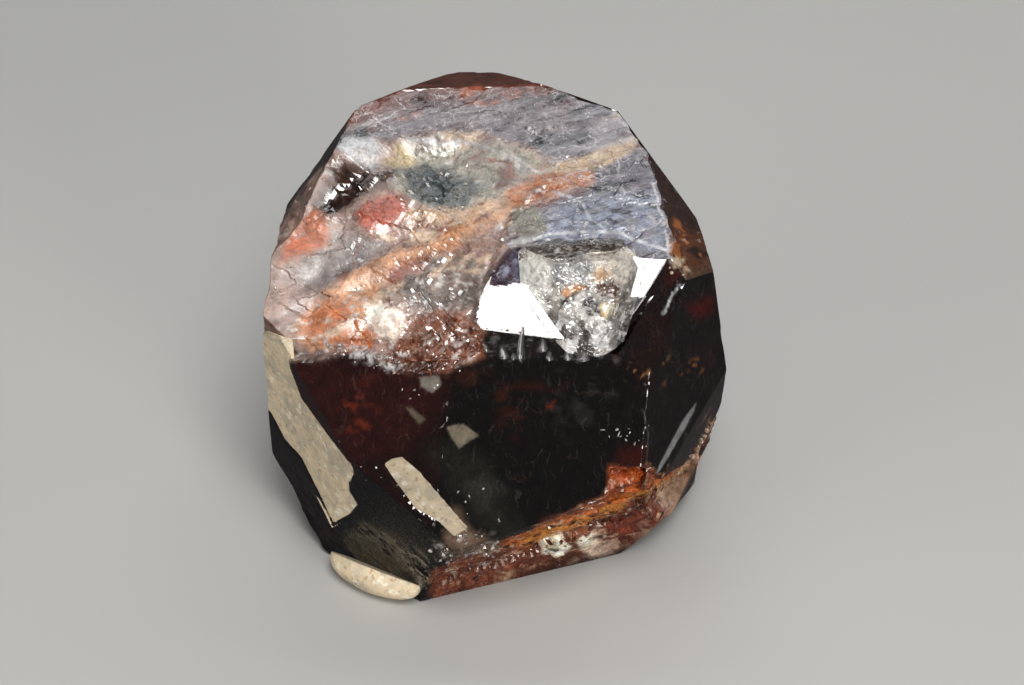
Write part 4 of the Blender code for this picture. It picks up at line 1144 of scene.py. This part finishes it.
# Linear colours of what is laid over the stone's own colour, and the compass turn of its growth lines
stoneLook = {
    "growthTurn": math.radians(-growthTurn),
    "silver": (0.46, 0.45, 0.47),
    "slate": (0.026, 0.026, 0.036),
    "crack": (0.68, 0.66, 0.66),
    "paintedGlint": (0.78, 0.76, 0.75),
    "dust": (0.42, 0.38, 0.34),
    "seam": (0.085, 0.045, 0.032),
    "hair": (0.30, 0.27, 0.25),
    "cracks": ((0.7, 0.022, 0.5), (1.9, 0.04, 0.4)),    # scale, width, strength of each net
}


def stoneGroup():
    inputs = [("Tint", "NodeSocketColor", (0.2, 0.1, 0.1, 1)), ("Roughness", "NodeSocketFloat", 0.1),
              ("Grain", "NodeSocketFloat", 0.0), ("Streaks", "NodeSocketFloat", 0.0)]
    outputs = [("Color", "NodeSocketColor"), ("Roughness", "NodeSocketFloat"), ("Height", "NodeSocketFloat")]
    tree, given, result = newGroup("stoneDetail", inputs, outputs)
    tint, rough = given.outputs["Tint"], given.outputs["Roughness"]
    grain, streaks = given.outputs["Grain"], given.outputs["Streaks"]
    spot = millimetreCoordinates(tree)
    # mottled grains, pale and dark, stronger where the stone is broken
    fine = noiseNode(tree, spot, 6.5, 3.0, 0.6)
    lively = mathNode(tree, "MULTIPLY_ADD", grain, 0.5, 0.5)
    shade = noiseRamp(tree, spot, 1.7, 5.0, 0.3, 0.7, 0.55, 1.5, 0.62)
    shade = product(tree, shade, rescale(tree, fine, 0.3, 0.7, 0.7, 1.35))
    shade = mathNode(tree, "POWER", shade, lively)
    shaded = addNode(tree, "ShaderNodeVectorMath", {0: tint, "Scale": shade}, operation="SCALE").outputs[0]
    # silvery growth lines, which climb to the right on the top
    along = millimetreCoordinates(tree, (0.32, 3.6, 3.6), (0.0, 0.0, stoneLook["growthTurn"]))
    stroke = noiseNode(tree, along, 1.0, 4.0, 0.65)
    pale = product(tree, rescale(tree, stroke, 0.53, 0.66), streaks)
    deep = product(tree, rescale(tree, stroke, 0.42, 0.32), streaks)
    shaded = mixColour(tree, product(tree, pale, 0.3), shaded, stoneLook["silver"])
    shaded = mixColour(tree, product(tree, deep, 0.5), shaded, stoneLook["slate"])
    # a net of fine white cracks, and painted glints as small white specks
    warp = noiseNode(tree, spot, 1.3, 3.0, 0.6, 1)
    bent = addNode(tree, "ShaderNodeVectorMath", {0: spot, 1: warp}).outputs[0]
    drawn = mapped(tree, bent, (0.0, 0.0, stoneLook["growthTurn"]), (0.45, 1.0, 1.0))
    cracked = mathNode(tree, "MAXIMUM", streaks, rescale(tree, grain, 0.12, 0.6, 0.0, 0.7))
    for scale, width, strength in stoneLook["cracks"]:
        line = rescale(tree, edgeDistance(tree, drawn, scale), width, width * 0.2)
        here = noiseRamp(tree, spot, 0.9 * scale, 2.0, 0.47, 0.58, 0.0, strength)
        line = product(tree, product(tree, line, here), streaks)
        shaded = mixColour(tree, line, shaded, stoneLook["crack"])
    paintedGlint = noiseRamp(tree, spot, 11.0, 2.0, 0.63, 0.71, roughness=0.7)
    patchy = noiseRamp(tree, spot, 1.1, 2.0, 0.42, 0.6, 0.15)
    paintedGlint = product(tree, product(tree, paintedGlint, patchy), cracked)
    shaded = mixColour(tree, paintedGlint, shaded, stoneLook["paintedGlint"])
    # dust, healed cracks and hair-fine scratches on the glossy faces
    dust = product(tree, noiseRamp(tree, spot, 12.0, 3.0, 0.685, 0.73, roughness=0.8), 0.35)
    shaded = mixColour(tree, dust, shaded, stoneLook["dust"])
    seam = rescale(tree, edgeDistance(tree, bent, 0.42), 0.03, 0.004)
    seam = product(tree, seam, noiseRamp(tree, spot, 0.8, 3.0, 0.52, 0.66, 0.0, 0.15))
    shaded = mixColour(tree, seam, shaded, stoneLook["seam"])
    hairs = mapped(tree, bent, (0.3, 0.5, 0.2), (9.0, 1.1, 0.8))
    hair = product(tree, noiseRamp(tree, hairs, 1.0, 2.0, 0.62, 0.68, roughness=0.6), 0.05)
    shaded = mixColour(tree, hair, shaded, stoneLook["hair"])
    tree.links.new(shaded, result.inputs["Color"])
    # gloss: broken parts vary from wet to dull
    change = rescale(tree, fine, 0.3, 0.7, -0.14, 0.2)
    gloss = mathNode(tree, "MULTIPLY_ADD", change, mathNode(tree, "ADD", grain, 0.08), rough)
    tree.links.new(mathNode(tree, "MAXIMUM", gloss, 0.03), result.inputs["Roughness"])
    broken = product(tree, mathNode(tree, "ADD", grain, 0.02), 0.55)
    bumps = product(tree, noiseNode(tree, spot, 5.0, 4.0, 0.6), broken)
    bumps = mathNode(tree, "ADD", bumps, product(tree, stroke, streaks))
    # faint upright growth lines on the glossy faces
    upright = noiseNode(tree, millimetreCoordinates(tree, (4.0, 4.0, 0.2)), 1.0, 3.0)
    bumps = mathNode(tree, "ADD", bumps, product(tree, upright, 0.035))
    tree.links.new(bumps, result.inputs["Height"])
    return tree


# Index of refraction of each stone
refraction = {"zircon": 1.95, "clear": 1.93, "crumb": 1.9, "feldspar": 1.53}


def principled(name, stone=None):
    material = bpy.data.materials.new(name)
    material.use_nodes = True
    tree = material.node_tree
    shader = tree.nodes["Principled BSDF"]
    if stone:
        shader.inputs["IOR"].default_value = refraction[stone]
    return material, tree, shader


def addBump(tree, shader, height, strength, distance):  # strength, and depth in mm
    links = {"Height": height, "Strength": strength, "Distance": distance * millimetre}
    bump = addNode(tree, "ShaderNodeBump", links)
    tree.links.new(bump.outputs[0], shader.inputs["Normal"])


def zirconMaterial(detail):
    material, tree, shader = principled("zirconRedBrown", "zircon")
    tint = addNode(tree, "ShaderNodeAttribute", attribute_name="tint")
    surface = addNode(tree, "ShaderNodeAttribute", attribute_name="surface")
    split = addNode(tree, "ShaderNodeSeparateColor", {0: surface.outputs["Color"]})
    group = addNode(tree, "ShaderNodeGroup", node_tree=detail)
    tree.links.new(tint.outputs["Color"], group.inputs["Tint"])
    for index, name in enumerate(("Roughness", "Grain", "Streaks")):
        tree.links.new(split.outputs[index], group.inputs[name])
    tree.links.new(group.outputs["Color"], shader.inputs["Base Color"])
    tree.links.new(group.outputs["Roughness"], shader.inputs["Roughness"])
    addBump(tree, shader, group.outputs["Height"], 0.8, 0.05)
    return material


clearCrystal = {
    "tint": (0.97, 0.965, 0.95),
    "frostedTint": (0.86, 0.84, 0.85),
    "cloud": (0.86, 0.84, 0.82),
    "absorbed": (0.75, 0.62, 0.5, 1.0),
    # density of the absorption, roughness
    "smooth": (15.0, 0.0),
    "frosted": (60.0, 0.32),
}


def clearMaterial(name, tint, density, rough):
    material, tree, shader = principled(name, "clear")
    output = tree.nodes["Material Output"]
    shader.inputs["Transmission Weight"].default_value = 1.0
    spot = millimetreCoordinates(tree)
    veil = noiseNode(tree, spot, 3.0, 4.0)
    tree.links.new(rescale(tree, veil, 0.45, 0.7, rough, rough + 0.08), shader.inputs["Roughness"])
    clouded = mixColour(tree, rescale(tree, veil, 0.4, 0.65), tint, clearCrystal["cloud"])
    tree.links.new(clouded, shader.inputs["Base Color"])
    addBump(tree, shader, noiseNode(tree, spot, 5.0, 3.0), 0.5, 0.03)
    # light passes through to what lies underneath
    ray = addNode(tree, "ShaderNodeLightPath")
    see = addNode(tree, "ShaderNodeBsdfTransparent", {"Color": (*tint, 1.0)})
    both = addNode(tree, "ShaderNodeMixShader", {0: ray.outputs["Is Shadow Ray"]})
    tree.links.new(shader.outputs[0], both.inputs[1])
    tree.links.new(see.outputs[0], both.inputs[2])
    tree.links.new(both.outputs[0], output.inputs["Surface"])
    links = {"Color": clearCrystal["absorbed"], "Density": density}
    haze = addNode(tree, "ShaderNodeVolumeAbsorption", links)
    tree.links.new(haze.outputs[0], output.inputs["Volume"])
    return material


crumbLook = {  # pale and deep colour, roughness
    "silver": ((236, 232, 230), (150, 140, 136), 0.14),
    "pale": ((238, 218, 190), (176, 132, 100), 0.28),
    "brown": ((176, 104, 70), (84, 42, 30), 0.16),
}


def crumbMaterial(name, look):
    material, tree, shader = principled(name, "crumb")
    light, deep, roughness = crumbLook[look]
    spot = millimetreCoordinates(tree)
    clouds = noiseRamp(tree, spot, 2.4, 2.0, 0.35, 0.65)
    colour = mixColour(tree, clouds, tuple(linear(deep)), tuple(linear(light)))
    tree.links.new(colour, shader.inputs["Base Color"])
    gloss = noiseRamp(tree, spot, 5.0, 2.0, 0.3, 0.7, roughness * 0.5, roughness * 1.6)
    tree.links.new(gloss, shader.inputs["Roughness"])
    addBump(tree, shader, noiseNode(tree, spot, 9.0, 2.0), 0.3, 0.02)
    return material


feldsparLook = {
    "cream": (230, 210, 178), "grey": (198, 186, 162), "pale": (250, 240, 218), "stain": (150, 104, 68),
}
# painted light and shade: one feldspar look, brightened or darkened for each piece; the front band's copy is
# the darkest
feldsparShade = {"feldsparCream": 1.6, "feldsparShaded": 0.95, "feldsparPale": 1.75}    # of each material


def feldsparMaterial(name):
    material, tree, shader = principled(name, "feldspar")
    look = {part: tuple(linear(seen) * feldsparShade[name]) for part, seen in feldsparLook.items()}
    spot = millimetreCoordinates(tree)
    clouds = noiseRamp(tree, spot, 0.8, 4.0, 0.42, 0.64, roughness=0.6)
    colour = mixColour(tree, clouds, look["cream"], look["grey"])
    colour = mixColour(tree, noiseRamp(tree, spot, 1.9, 3.0, 0.54, 0.7), colour, look["pale"])
    colour = mixColour(tree, noiseRamp(tree, spot, 4.0, 3.0, 0.56, 0.7, 0.0, 0.55), colour, look["stain"])
    tree.links.new(colour, shader.inputs["Base Color"])
    fine = noiseNode(tree, spot, 9.0, 4.0, 0.7)
    tree.links.new(rescale(tree, fine, 0.3, 0.7, 0.5, 0.75), shader.inputs["Roughness"])
    addBump(tree, shader, fine, 0.5, 0.03)
    return material


# Pieces

boxMargin = 2e-6    # how far the pieces keep inside the sides and top of the solid part's box, in m


def makePiece(name, points, triangles, material, slotName, replaced=None, smooth=False):
    mesh = bpy.data.meshes.new(name)
    shifted = (points + crystal["footprintShift"]) * millimetre
    low, high = np.array(cadBox[0]), np.array(cadBox[1])
    shifted = np.clip(shifted, low + boxMargin * np.array([1, 1, 0]), high - boxMargin)
    mesh.from_pydata(shifted.tolist(), [], triangles.tolist())
    mesh.materials.append(material)
    mesh.shade_smooth() if smooth else mesh.shade_flat()
    piece = addObject(name, mesh)
    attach(piece, "root")
    if replaced:
        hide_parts(replaced)
    print(f"{name}: {len(triangles)} triangles")
    return piece


def addCornerColours(mesh, name, values):
    layer = mesh.attributes.new(name, "FLOAT_COLOR", "CORNER")
    layer.data.foreach_set("color", np.hstack([values, np.ones((len(values), 1))]).astype(np.float32).ravel())


def kindsOf(points, triangles):  # which growth face each triangle lies on, or which cut
    middle = points[triangles].mean(axis=1)
    gaps = np.abs(overFaces(middle))
    nearest = gaps.argmin(axis=1)
    normals = triangleNormals(points, triangles)
    turned = np.sum(normals * faceNormals[nearest], axis=1) < 0.985
    inChip = turned & (fromChip(middle) < chip["reach"]) & (gaps.min(axis=1) > 0.04)
    x, height = laidOut(middle)
    inside = distanceInside(zones["sunkBlock"], x, height)
    inBlock = (gaps.min(axis=1) > 0.06) & (inside > -0.05) & (middle[:, 1] < -6)
    return np.select([inChip, inBlock], [chipFace, blockFace], nearest)


def skinAllowed(middle):
    x, height = laidOut(middle)
    front = facingFront(middle)
    size = np.full(len(middle), meshSize["plain"])
    size = np.where(patchShare(middle, 2.5) > 0.0, meshSize["patch"], size)
    size = np.where((front > 0.35) & (height < 8.0) & (height > -2.5), meshSize["front"], size)
    size = np.where(isOnFace(middle, "top"), meshSize["top"], size)
    for name in ("slope", "foot"):
        near = (distanceInside(zones[name], x, height) > -0.3) & (front > frontLimit)
        size = np.where(near, np.minimum(size, meshSize[name]), size)
    for name in ("leftBand", "frontBand"):
        near = np.abs(distanceInside(feldspar[name], x, height)) < 0.3
        size = np.where(near & (front > -0.3) & (middle[:, 1] < -2.3), meshSize["bandEdge"], size)
    for name in ("flake", "slimFlake", "silverFlake", "ember", "darkFacet", "whiteLine", "blueZone"):
        near = (distanceInside(patches[name][0], x, height) > -0.2) & (front > 0.3)
        size = np.where(near, meshSize["chip"], size)
    size = np.where(fromChip(middle) < chip["nearReach"], np.minimum(size, meshSize["slope"]), size)
    size = np.where(fromChip(middle) < chip["fineReach"], meshSize["chip"] * 1.1, size)
    for path, seen, width in lines.values():
        near = (distanceToLine(path, x, height) < 0.3) & (front > 0.0)
        size = np.where(near, np.minimum(size, meshSize["line"]), size)
    dotted = np.zeros(len(middle), bool)
    for outline, seen, soft, grainSize, amount in spots.values():
        dotted |= (distanceInside(outline, x, height) > -0.2) & (front > 0.0) & (grainSize < 0.6)
    size = np.where(dotted, np.minimum(size, meshSize["foot"]), size)
    return np.where(middle[:, 2] < 0.02, meshSize["base"], size)


def touches(points, triangles, chosen):  # the points that belong to these triangles
    marked = np.zeros(len(points), bool)
    marked[triangles[chosen].ravel()] = True
    return marked


def zirconSkin(material):
    solid = crystalBlock()
    edges = [edge for edge in solid.edges if edge.calc_length() > 0.3]
    rounding = crystal["edgeRounding"]
    bmesh.ops.bevel(solid, geom=edges, offset=rounding, segments=2, profile=0.5, affect="EDGES")
    solid = combine(solid, chipCutter(chip["glassThickness"] - 0.03), "DIFFERENCE")
    sunk = prism(zones["sunkBlock"], 4.0, barEnd)
    sunk = combine(sunk, crystalBlock(-relief["sunkBlockDepth"]), "DIFFERENCE")
    solid = combine(solid, sunk, "DIFFERENCE")
    points, triangles = asTriangles(solid)
    kinds = kindsOf(points, triangles)
    points, triangles, kinds = splitLong(points, triangles, kinds, skinAllowed)
    # settle the paint before the points move, one colour for each point on each face
    pairs = triangles.astype(np.int64) * 64 + kinds[:, None]
    unique, back = np.unique(pairs.ravel(), return_inverse=True)
    colours, surface = paint(points[unique // 64], unique % 64)
    onTop = touches(points, triangles, kinds == faceNames.index("top"))
    inChip = touches(points, triangles, kinds == chipFace)
    onOther = touches(points, triangles, kinds != chipFace)
    depth = np.maximum(brokenDepth(points), bandMoat(points))
    calm = depth < 0.02
    depth += topRelief(points) * onTop * calm
    unevenness = bevelRelief(points) + (edgeChips(points) + growthRelief(points) * ~onTop) * (points[:, 2] > 0.5)
    depth += unevenness * calm * ~inChip
    depth += chip["calmFacets"] * (inChip & ~onOther) * np.clip(0.5 + shards(points, 0.8, 81), 0, 1)
    points = points - outward(points) * depth[:, None]
    piece = makePiece("zirconSkin", points, triangles, material, "zircon", "zircon_crystal")
    addCornerColours(piece.data, "tint", colours[back])
    addCornerColours(piece.data, "surface", surface[back])
    return piece


def feldsparSkin(name, side, material, replaced):
    gap = feldspar["overlap"]
    outline, start = feldspar[side + "Band"], feldspar[side + "Start"]
    solid = combine(bandBar(outline, start, gap), crystalBlock(0.0), "INTERSECT")
    solid = combine(solid, crystalBlock(-feldspar["thickness"]), "DIFFERENCE")
    points, triangles = asTriangles(solid)
    points, triangles = splitEvenly(points, triangles, feldspar["meshSize"])
    x, height = laidOut(points)
    inside = distanceInside(grownOutline(outline, gap), x, height)
    backInside = feldspar["leftBandBack"] + gap - points[:, 1]
    near = np.minimum(inside, backInside)
    depth = feldspar["rounding"] * (1 - ramp(near, -0.02, 0.3)) ** 2
    depth += 0.035 * (1 + softNoise(points, 1.2, 91)) + 0.03 * (1 + shards(points, 0.8, 92)) * 0.5
    atSurface = np.abs(overFaces(points).max(axis=1)) < 0.02
    points = points - outward(points) * (depth * atSurface)[:, None]
    return makePiece(name, points, triangles, material, "feldspar", replaced)


def footSkin(material):
    solid = footLens(0.0)
    sliceOff(solid, (0.0, 0.0, feldspar["footClearance"]), (0.0, 0.0, -1.0))
    points, triangles = asTriangles(solid)
    points, triangles = splitEvenly(points, triangles, feldspar["footMeshSize"])
    middle = np.array(feldspar["footCentre"])
    depth = 0.03 * (1 + softNoise(points, 0.9, 93))
    points = points - (points - middle) * depth[:, None]
    names = ("feldspar", "feldspar_foot")
    return makePiece("feldsparFootSkin", points, triangles, material, *names, smooth=True)


def chipGlass(material):  # the clear, shell-broken crystal in the chip
    thick = chip["glassThickness"]
    solid = combine(crystalBlock(-0.03), chipCutter(thick), "INTERSECT")
    solid = combine(solid, chipCutter(0.0), "DIFFERENCE")
    solid = combine(solid, prism(chip["ledge"], 0.0, barEnd + 2.0), "DIFFERENCE")
    points, triangles = asTriangles(solid)
    points, triangles = splitEvenly(points, triangles, meshSize["chip"])
    inner = np.abs(overFaces(points).max(axis=1)) > 0.05
    x, height = laidOut(points)
    sharp = ramp(10.6 - height, 0.0, 1.2)
    drawn = drawnOut(points, 60, 1.8)
    depth = chip["calmFacets"] * (1 - sharp) + chip["sharpFacets"] * sharp
    depth *= np.clip(0.5 + shards(drawn, 0.7, 83) + 0.4 * shards(points, 0.3, 84), 0, 1.2)
    depth = np.where(inner, depth, bevelRelief(points))
    points = points - outward(points) * depth[:, None]
    return makePiece("chipGlass", points, triangles, material, "zircon")


drops = {
    "sides": 9,
    "rings": 9,
    "flatness": 0.8,
    # x, height of the upper end, length, half width
    "places": [
        (1.45, 8.42, 1.75, 0.30),
        (0.45, 7.45, 0.65, 0.30),
        (2.30, 7.85, 0.70, 0.38),
        (2.75, 7.25, 0.50, 0.32),
        (3.60, 7.30, 0.55, 0.36),
        (4.35, 7.20, 0.50, 0.40),
        (-0.35, 7.60, 0.45, 0.24),
        (0.95, 7.15, 0.35, 0.26),
    ],
}


def dropWidth(halfWidth, share):  # narrow at the upper end, widest low down and rounded at the tip
    tip = math.sqrt(max(0.0, 1 - max(0.0, share * 1.5 - 0.5) ** 4))
    return halfWidth * (0.35 + 0.65 * share ** 1.4) * tip * (1.0 - 0.75 * max(0.0, 1 - share * 6))


def glassDrops(material):  # small clear columns that hang on the face below the bevel
    solid = bmesh.new()
    for number, (x, height, length, halfWidth) in enumerate(drops["places"]):
        upper = Vector(pointOnFace("bevelFoot", x, height))
        away = Vector(faceNormals[faceNames.index("bevelFoot")])
        side = Vector((1.0, 0.06, 0.0)).cross(away).cross(away).normalized()
        down = side.cross(away).normalized()
        down = -down if down.z > 0 else down
        rings = []
        for step in range(drops["rings"]):
            share = step / (drops["rings"] - 1)
            swell = dropWidth(halfWidth, share)
            lean = 0.10 * math.sin(number * 2.3 + share * 2.0)
            middle = upper + down * (length * share) + side * lean * length
            ring = []
            for index in range(drops["sides"]):
                turn = 2 * math.pi * index / drops["sides"] + number
                swing = 1.0 + 0.22 * math.sin(turn * 2 + number * 1.7)
                reach = max(swell, 0.012) * swing
                out = away * math.sin(turn) * reach * drops["flatness"]
                ring.append(solid.verts.new(middle + side * math.cos(turn) * reach + out))
            rings.append(ring)
        for first, second in zip(rings, rings[1:]):
            for index in range(drops["sides"]):
                after = (index + 1) % drops["sides"]
                solid.faces.new((first[index], first[after], second[after], second[index]))
        solid.faces.new(rings[0])
        solid.faces.new(rings[-1])
    points, triangles = asTriangles(solid)
    return makePiece("glassDrops", points, triangles, material, "zircon", smooth=True)


# Crumbs and splinters, scattered over parts of the skin: outline, number per square mm, size in mm, stretch
crumbs = {
    "silverCrumbs": [
        (zones["slopeEdge"], 9.0, 0.13, 1.5),
        ([(-2.2, 0.6), (-0.6, 1.0), (0.6, 0.4), (0.9, -1.6), (-1.2, -1.9)], 1.6, 0.10, 1.2),
        ([(-3.2, -2.6), (-1.2, -1.6), (0.6, -2.2), (0.4, -3.6), (-2.4, -4.2)], 4.0, 0.13, 1.3),
        ([(7.0, 3.6), (7.6, 3.6), (7.9, 1.6), (7.2, 1.7)], 3.0, 0.07, 1.6),
        ([(5.0, 3.3), (6.4, 3.5), (7.4, 3.3), (7.3, 2.8), (5.2, 2.9)], 9.0, 0.08, 3.0),
        ([(-7.0, 1.6), (-5.9, 1.9), (-5.4, 0.9), (-6.3, 0.4)], 2.0, 0.10, 1.2),
        ([(-4.9, 5.3), (-3.2, 6.1), (-2.3, 5.2), (-3.4, 4.6)], 3.0, 0.08, 1.6),
    ],
    "paleCrumbs": [
        ([(8.6, 0.0), (9.6, 1.2), (11.3, 3.9), (12.2, 3.4), (11.4, 0.8), (9.8, -1.2)], 7.0, 0.17, 1.2),
        ([(1.9, -2.5), (4.0, -2.0), (6.9, -2.3), (6.4, -4.2), (2.4, -4.0)], 2.2, 0.15, 1.2),
        (zones["slope"], 0.5, 0.10, 1.6),
        ([(8.4, 11.4), (9.2, 11.9), (9.6, 11.0), (8.9, 10.2)], 6.0, 0.10, 1.4),
    ],
    "brownSplinters": [
        (zones["ledge"], 5.0, 0.12, 3.4),
        ([(0.4, -2.6), (3.6, -1.6), (8.8, 0.6), (8.6, -0.6), (4.0, -2.4), (0.6, -3.6)], 2.6, 0.16, 2.4),
        ([(-1.6, 8.6), (-0.4, 8.4), (1.6, 8.6), (1.6, 8.1), (-0.6, 7.8)], 5.0, 0.09, 1.6),
    ],
}


def crumbTree():
    tree = bpy.data.node_groups.new("scatteredCrumbs", "GeometryNodeTree")
    tree.interface.new_socket("Geometry", in_out="INPUT", socket_type="NodeSocketGeometry")
    for label, kind in (("Density", "Float"), ("Size", "Float"), ("Length", "Float"), ("Seed", "Int"),
                        ("Material", "Material")):
        tree.interface.new_socket(label, in_out="INPUT", socket_type="NodeSocket" + kind)
    tree.interface.new_socket("Geometry", in_out="OUTPUT", socket_type="NodeSocketGeometry")
    given, result = tree.nodes.new("NodeGroupInput"), tree.nodes.new("NodeGroupOutput")
    seed = given.outputs["Seed"]
    ground = {"Mesh": given.outputs["Geometry"], "Density": given.outputs["Density"], "Seed": seed}
    spread = addNode(tree, "GeometryNodeDistributePointsOnFaces", ground)
    turn = addNode(tree, "FunctionNodeRandomValue", {"Seed": seed}, data_type="FLOAT_VECTOR")
    turn.inputs["Max"].default_value = (6.28, 6.28, 6.28)
    size = addNode(tree, "FunctionNodeRandomValue", {"Seed": seed}, data_type="FLOAT")
    size.inputs[2].default_value, size.inputs[3].default_value = 0.35, 1.0
    reach = product(tree, size.outputs[1], given.outputs["Size"])
    long = product(tree, reach, given.outputs["Length"])
    flat = product(tree, reach, 0.55)
    scale = addNode(tree, "ShaderNodeCombineXYZ", {0: reach, 1: flat, 2: long})
    grain = addNode(tree, "GeometryNodeMeshIcoSphere", {"Radius": 1.0, "Subdivisions": 1})
    place = addNode(tree, "GeometryNodeInputPosition").outputs[0]
    wobble = addNode(tree, "ShaderNodeTexWhiteNoise", {"Vector": place}).outputs["Color"]
    dent = addNode(tree, "ShaderNodeVectorMath", {0: wobble, "Scale": 0.5}, operation="SCALE").outputs[0]
    rough = addNode(tree, "GeometryNodeSetPosition", {"Geometry": grain.outputs["Mesh"], "Offset": dent})
    placed = addNode(tree, "GeometryNodeInstanceOnPoints", {
        "Points": spread.outputs["Points"], "Instance": rough.outputs[0], "Rotation": turn.outputs[0],
        "Scale": scale.outputs[0]})
    real = addNode(tree, "GeometryNodeRealizeInstances", {"Geometry": placed.outputs[0]})
    painted = addNode(tree, "GeometryNodeSetMaterial", {
        "Geometry": real.outputs[0], "Material": given.outputs["Material"]})
    tree.links.new(painted.outputs[0], result.inputs["Geometry"])
    return tree


def meshArrays(mesh):
    points = np.empty(len(mesh.vertices) * 3)
    mesh.vertices.foreach_get("co", points)
    triangles = np.array([polygon.vertices[:] for polygon in mesh.polygons]).reshape(-1, 3)
    return points.reshape(-1, 3), triangles


def scatter(name, skin, tree, material):
    points, triangles = meshArrays(skin.data)
    middle = points[triangles].mean(axis=1) / millimetre - np.array(crystal["footprintShift"])
    x, height = laidOut(middle)
    allPoints, allTriangles, start = [], [], 0
    for number, (outline, density, size, length) in enumerate(crumbs[name]):
        here = (distanceInside(outline, x, height) > 0.0) & (facingFront(middle) > 0.0) & (middle[:, 2] > 0.6)
        mesh = bpy.data.meshes.new("crumbGround")
        mesh.from_pydata(points.tolist(), [], triangles[here].tolist())
        ground = addObject("crumbGround", mesh)
        step = ground.modifiers.new("scatter", "NODES")
        step.node_group = tree
        values = {"Density": density / millimetre ** 2, "Size": size * millimetre, "Length": length,
                  "Seed": 11 + number, "Material": material}
        for socket in tree.interface.items_tree:
            if socket.in_out == "INPUT" and socket.name in values:
                step[socket.identifier] = values[socket.name]
        made = evaluatedMesh(ground)
        grainPoints, grainTriangles = meshArrays(made)
        allPoints.append(grainPoints / millimetre - np.array(crystal["footprintShift"]))
        allTriangles.append(grainTriangles + start)
        start += len(made.vertices)
        bpy.data.meshes.remove(made)
        bpy.data.meshes.remove(mesh)
    return makePiece(name, np.vstack(allPoints), np.vstack(allTriangles), material, "zircon")


# Camera, lights and floor

view = {
    "aim": (0.83, -0.085, 10.0), "pitch": 40.0, "distance": 176.0, "lens": 120.0,
    "floorColour": (0.52, 0.52, 0.51), "floorHalfSize": 1.2, "ambient": 0.05,
    "lightsAround": (0.0, 0.0, 0.0105),
    # direction from the crystal, distance m, width m, height m, radiance, colour
    "lights": {
        "keyBox": ((0.113, -0.523, 0.845), 0.25, 0.085, 0.10, 15.0, (1.0, 0.99, 0.97)),
        "topPanelA": ((0.02, 0.25, 0.97), 0.30, 0.30, 0.03, 3.2, (0.97, 0.98, 1.0)),
        "topPanelB": ((0.10, 0.48, 0.87), 0.30, 0.30, 0.03, 3.2, (0.97, 0.98, 1.0)),
        "topPanelC": ((0.16, 0.70, 0.70), 0.30, 0.30, 0.03, 2.6, (0.97, 0.98, 1.0)),
        "slopeBox": ((-0.28, -0.22, 0.93), 0.30, 0.12, 0.12, 1.1, (1.0, 0.97, 0.94)),
        "leftFill": ((-0.76, -0.50, 0.40), 0.40, 0.26, 0.22, 1.7, (1.0, 0.97, 0.92)),
        "footFill": ((0.50, -0.84, 0.20), 0.40, 0.12, 0.10, 15.0, (1.0, 0.96, 0.90)),
        "rightRim": ((0.85, 0.25, 0.46), 0.40, 0.08, 0.30, 1.2, (0.97, 0.98, 1.0)),
    },
}


def addLight(name, direction, distance, width, height, radiance, colour):
    data = bpy.data.lights.new(name, "AREA")
    data.shape = "RECTANGLE"
    data.size, data.size_y = width, height
    data.energy = radiance * math.pi * width * height
    data.color = colour
    light = addObject(name, data)
    away = Vector(direction).normalized()
    light.location = Vector(view["lightsAround"]) + away * distance
    light.rotation_euler = away.to_track_quat("Z", "Y").to_euler()


def addFloor():
    mesh = bpy.data.meshes.new("floor")
    half = view["floorHalfSize"]
    corners = [(-half, -half, 0), (half, -half, 0), (half, half, 0), (-half, half, 0)]
    mesh.from_pydata(corners, [], [(0, 1, 2, 3)])
    floor = addObject("floor", mesh)
    material, tree, shader = principled("paleFloor")
    shader.inputs["Roughness"].default_value = 0.9
    shader.inputs["Base Color"].default_value = (*view["floorColour"], 1.0)
    mesh.materials.append(material)
    floor.visible_glossy = False    # the dark faces mirror a dim studio, not the floor


def addCamera():
    data = bpy.data.cameras.new("camera")
    data.lens = view["lens"]
    data.sensor_width = 36.0
    data.clip_start = 0.005
    camera = addObject("camera", data)
    pitch = math.radians(view["pitch"])
    back = Vector((0.0, -math.cos(pitch), math.sin(pitch)))
    camera.location = (Vector(view["aim"]) + back * view["distance"]) * millimetre
    camera.rotation_euler = (math.radians(90.0) - pitch, 0.0, 0.0)
    bpy.context.scene.camera = camera


def addStudio():
    world = bpy.data.worlds.new("studio")
    world.use_nodes = True
    level = view["ambient"]
    world.node_tree.nodes["Background"].inputs[0].default_value = (level, level, level * 1.03, 1.0)
    bpy.context.scene.world = world
    bpy.context.scene.view_settings.view_transform = "Standard"
    for name, values in view["lights"].items():
        addLight(name, *values)
    addFloor()
    addCamera()


addStudio()
print("studio ready")
zirconStone = zirconMaterial(stoneGroup())
creamStone = feldsparMaterial("feldsparCream")
shadedFeldspar = feldsparMaterial("feldsparShaded")
paleStone = feldsparMaterial("feldsparPale")
clearStone = clearMaterial("zirconClear", clearCrystal["tint"], *clearCrystal["smooth"])
frostedStone = clearMaterial("zirconFrosted", clearCrystal["frostedTint"], *clearCrystal["frosted"])
skin = zirconSkin(zirconStone)
feldsparSkin("feldsparLeftSkin", "left", creamStone, "feldspar_band_left")
feldsparSkin("feldsparFrontSkin", "front", shadedFeldspar, "feldspar_band_front")
footSkin(paleStone)
chipGlass(clearStone)
glassDrops(frostedStone)
scattered = crumbTree()
scatter("silverCrumbs", skin, scattered, crumbMaterial("silverCrumb", "silver"))
scatter("paleCrumbs", skin, scattered, crumbMaterial("paleCrumb", "pale"))
scatter("brownSplinters", skin, scattered, crumbMaterial("brownSplinter", "brown"))
print("pieces ready")
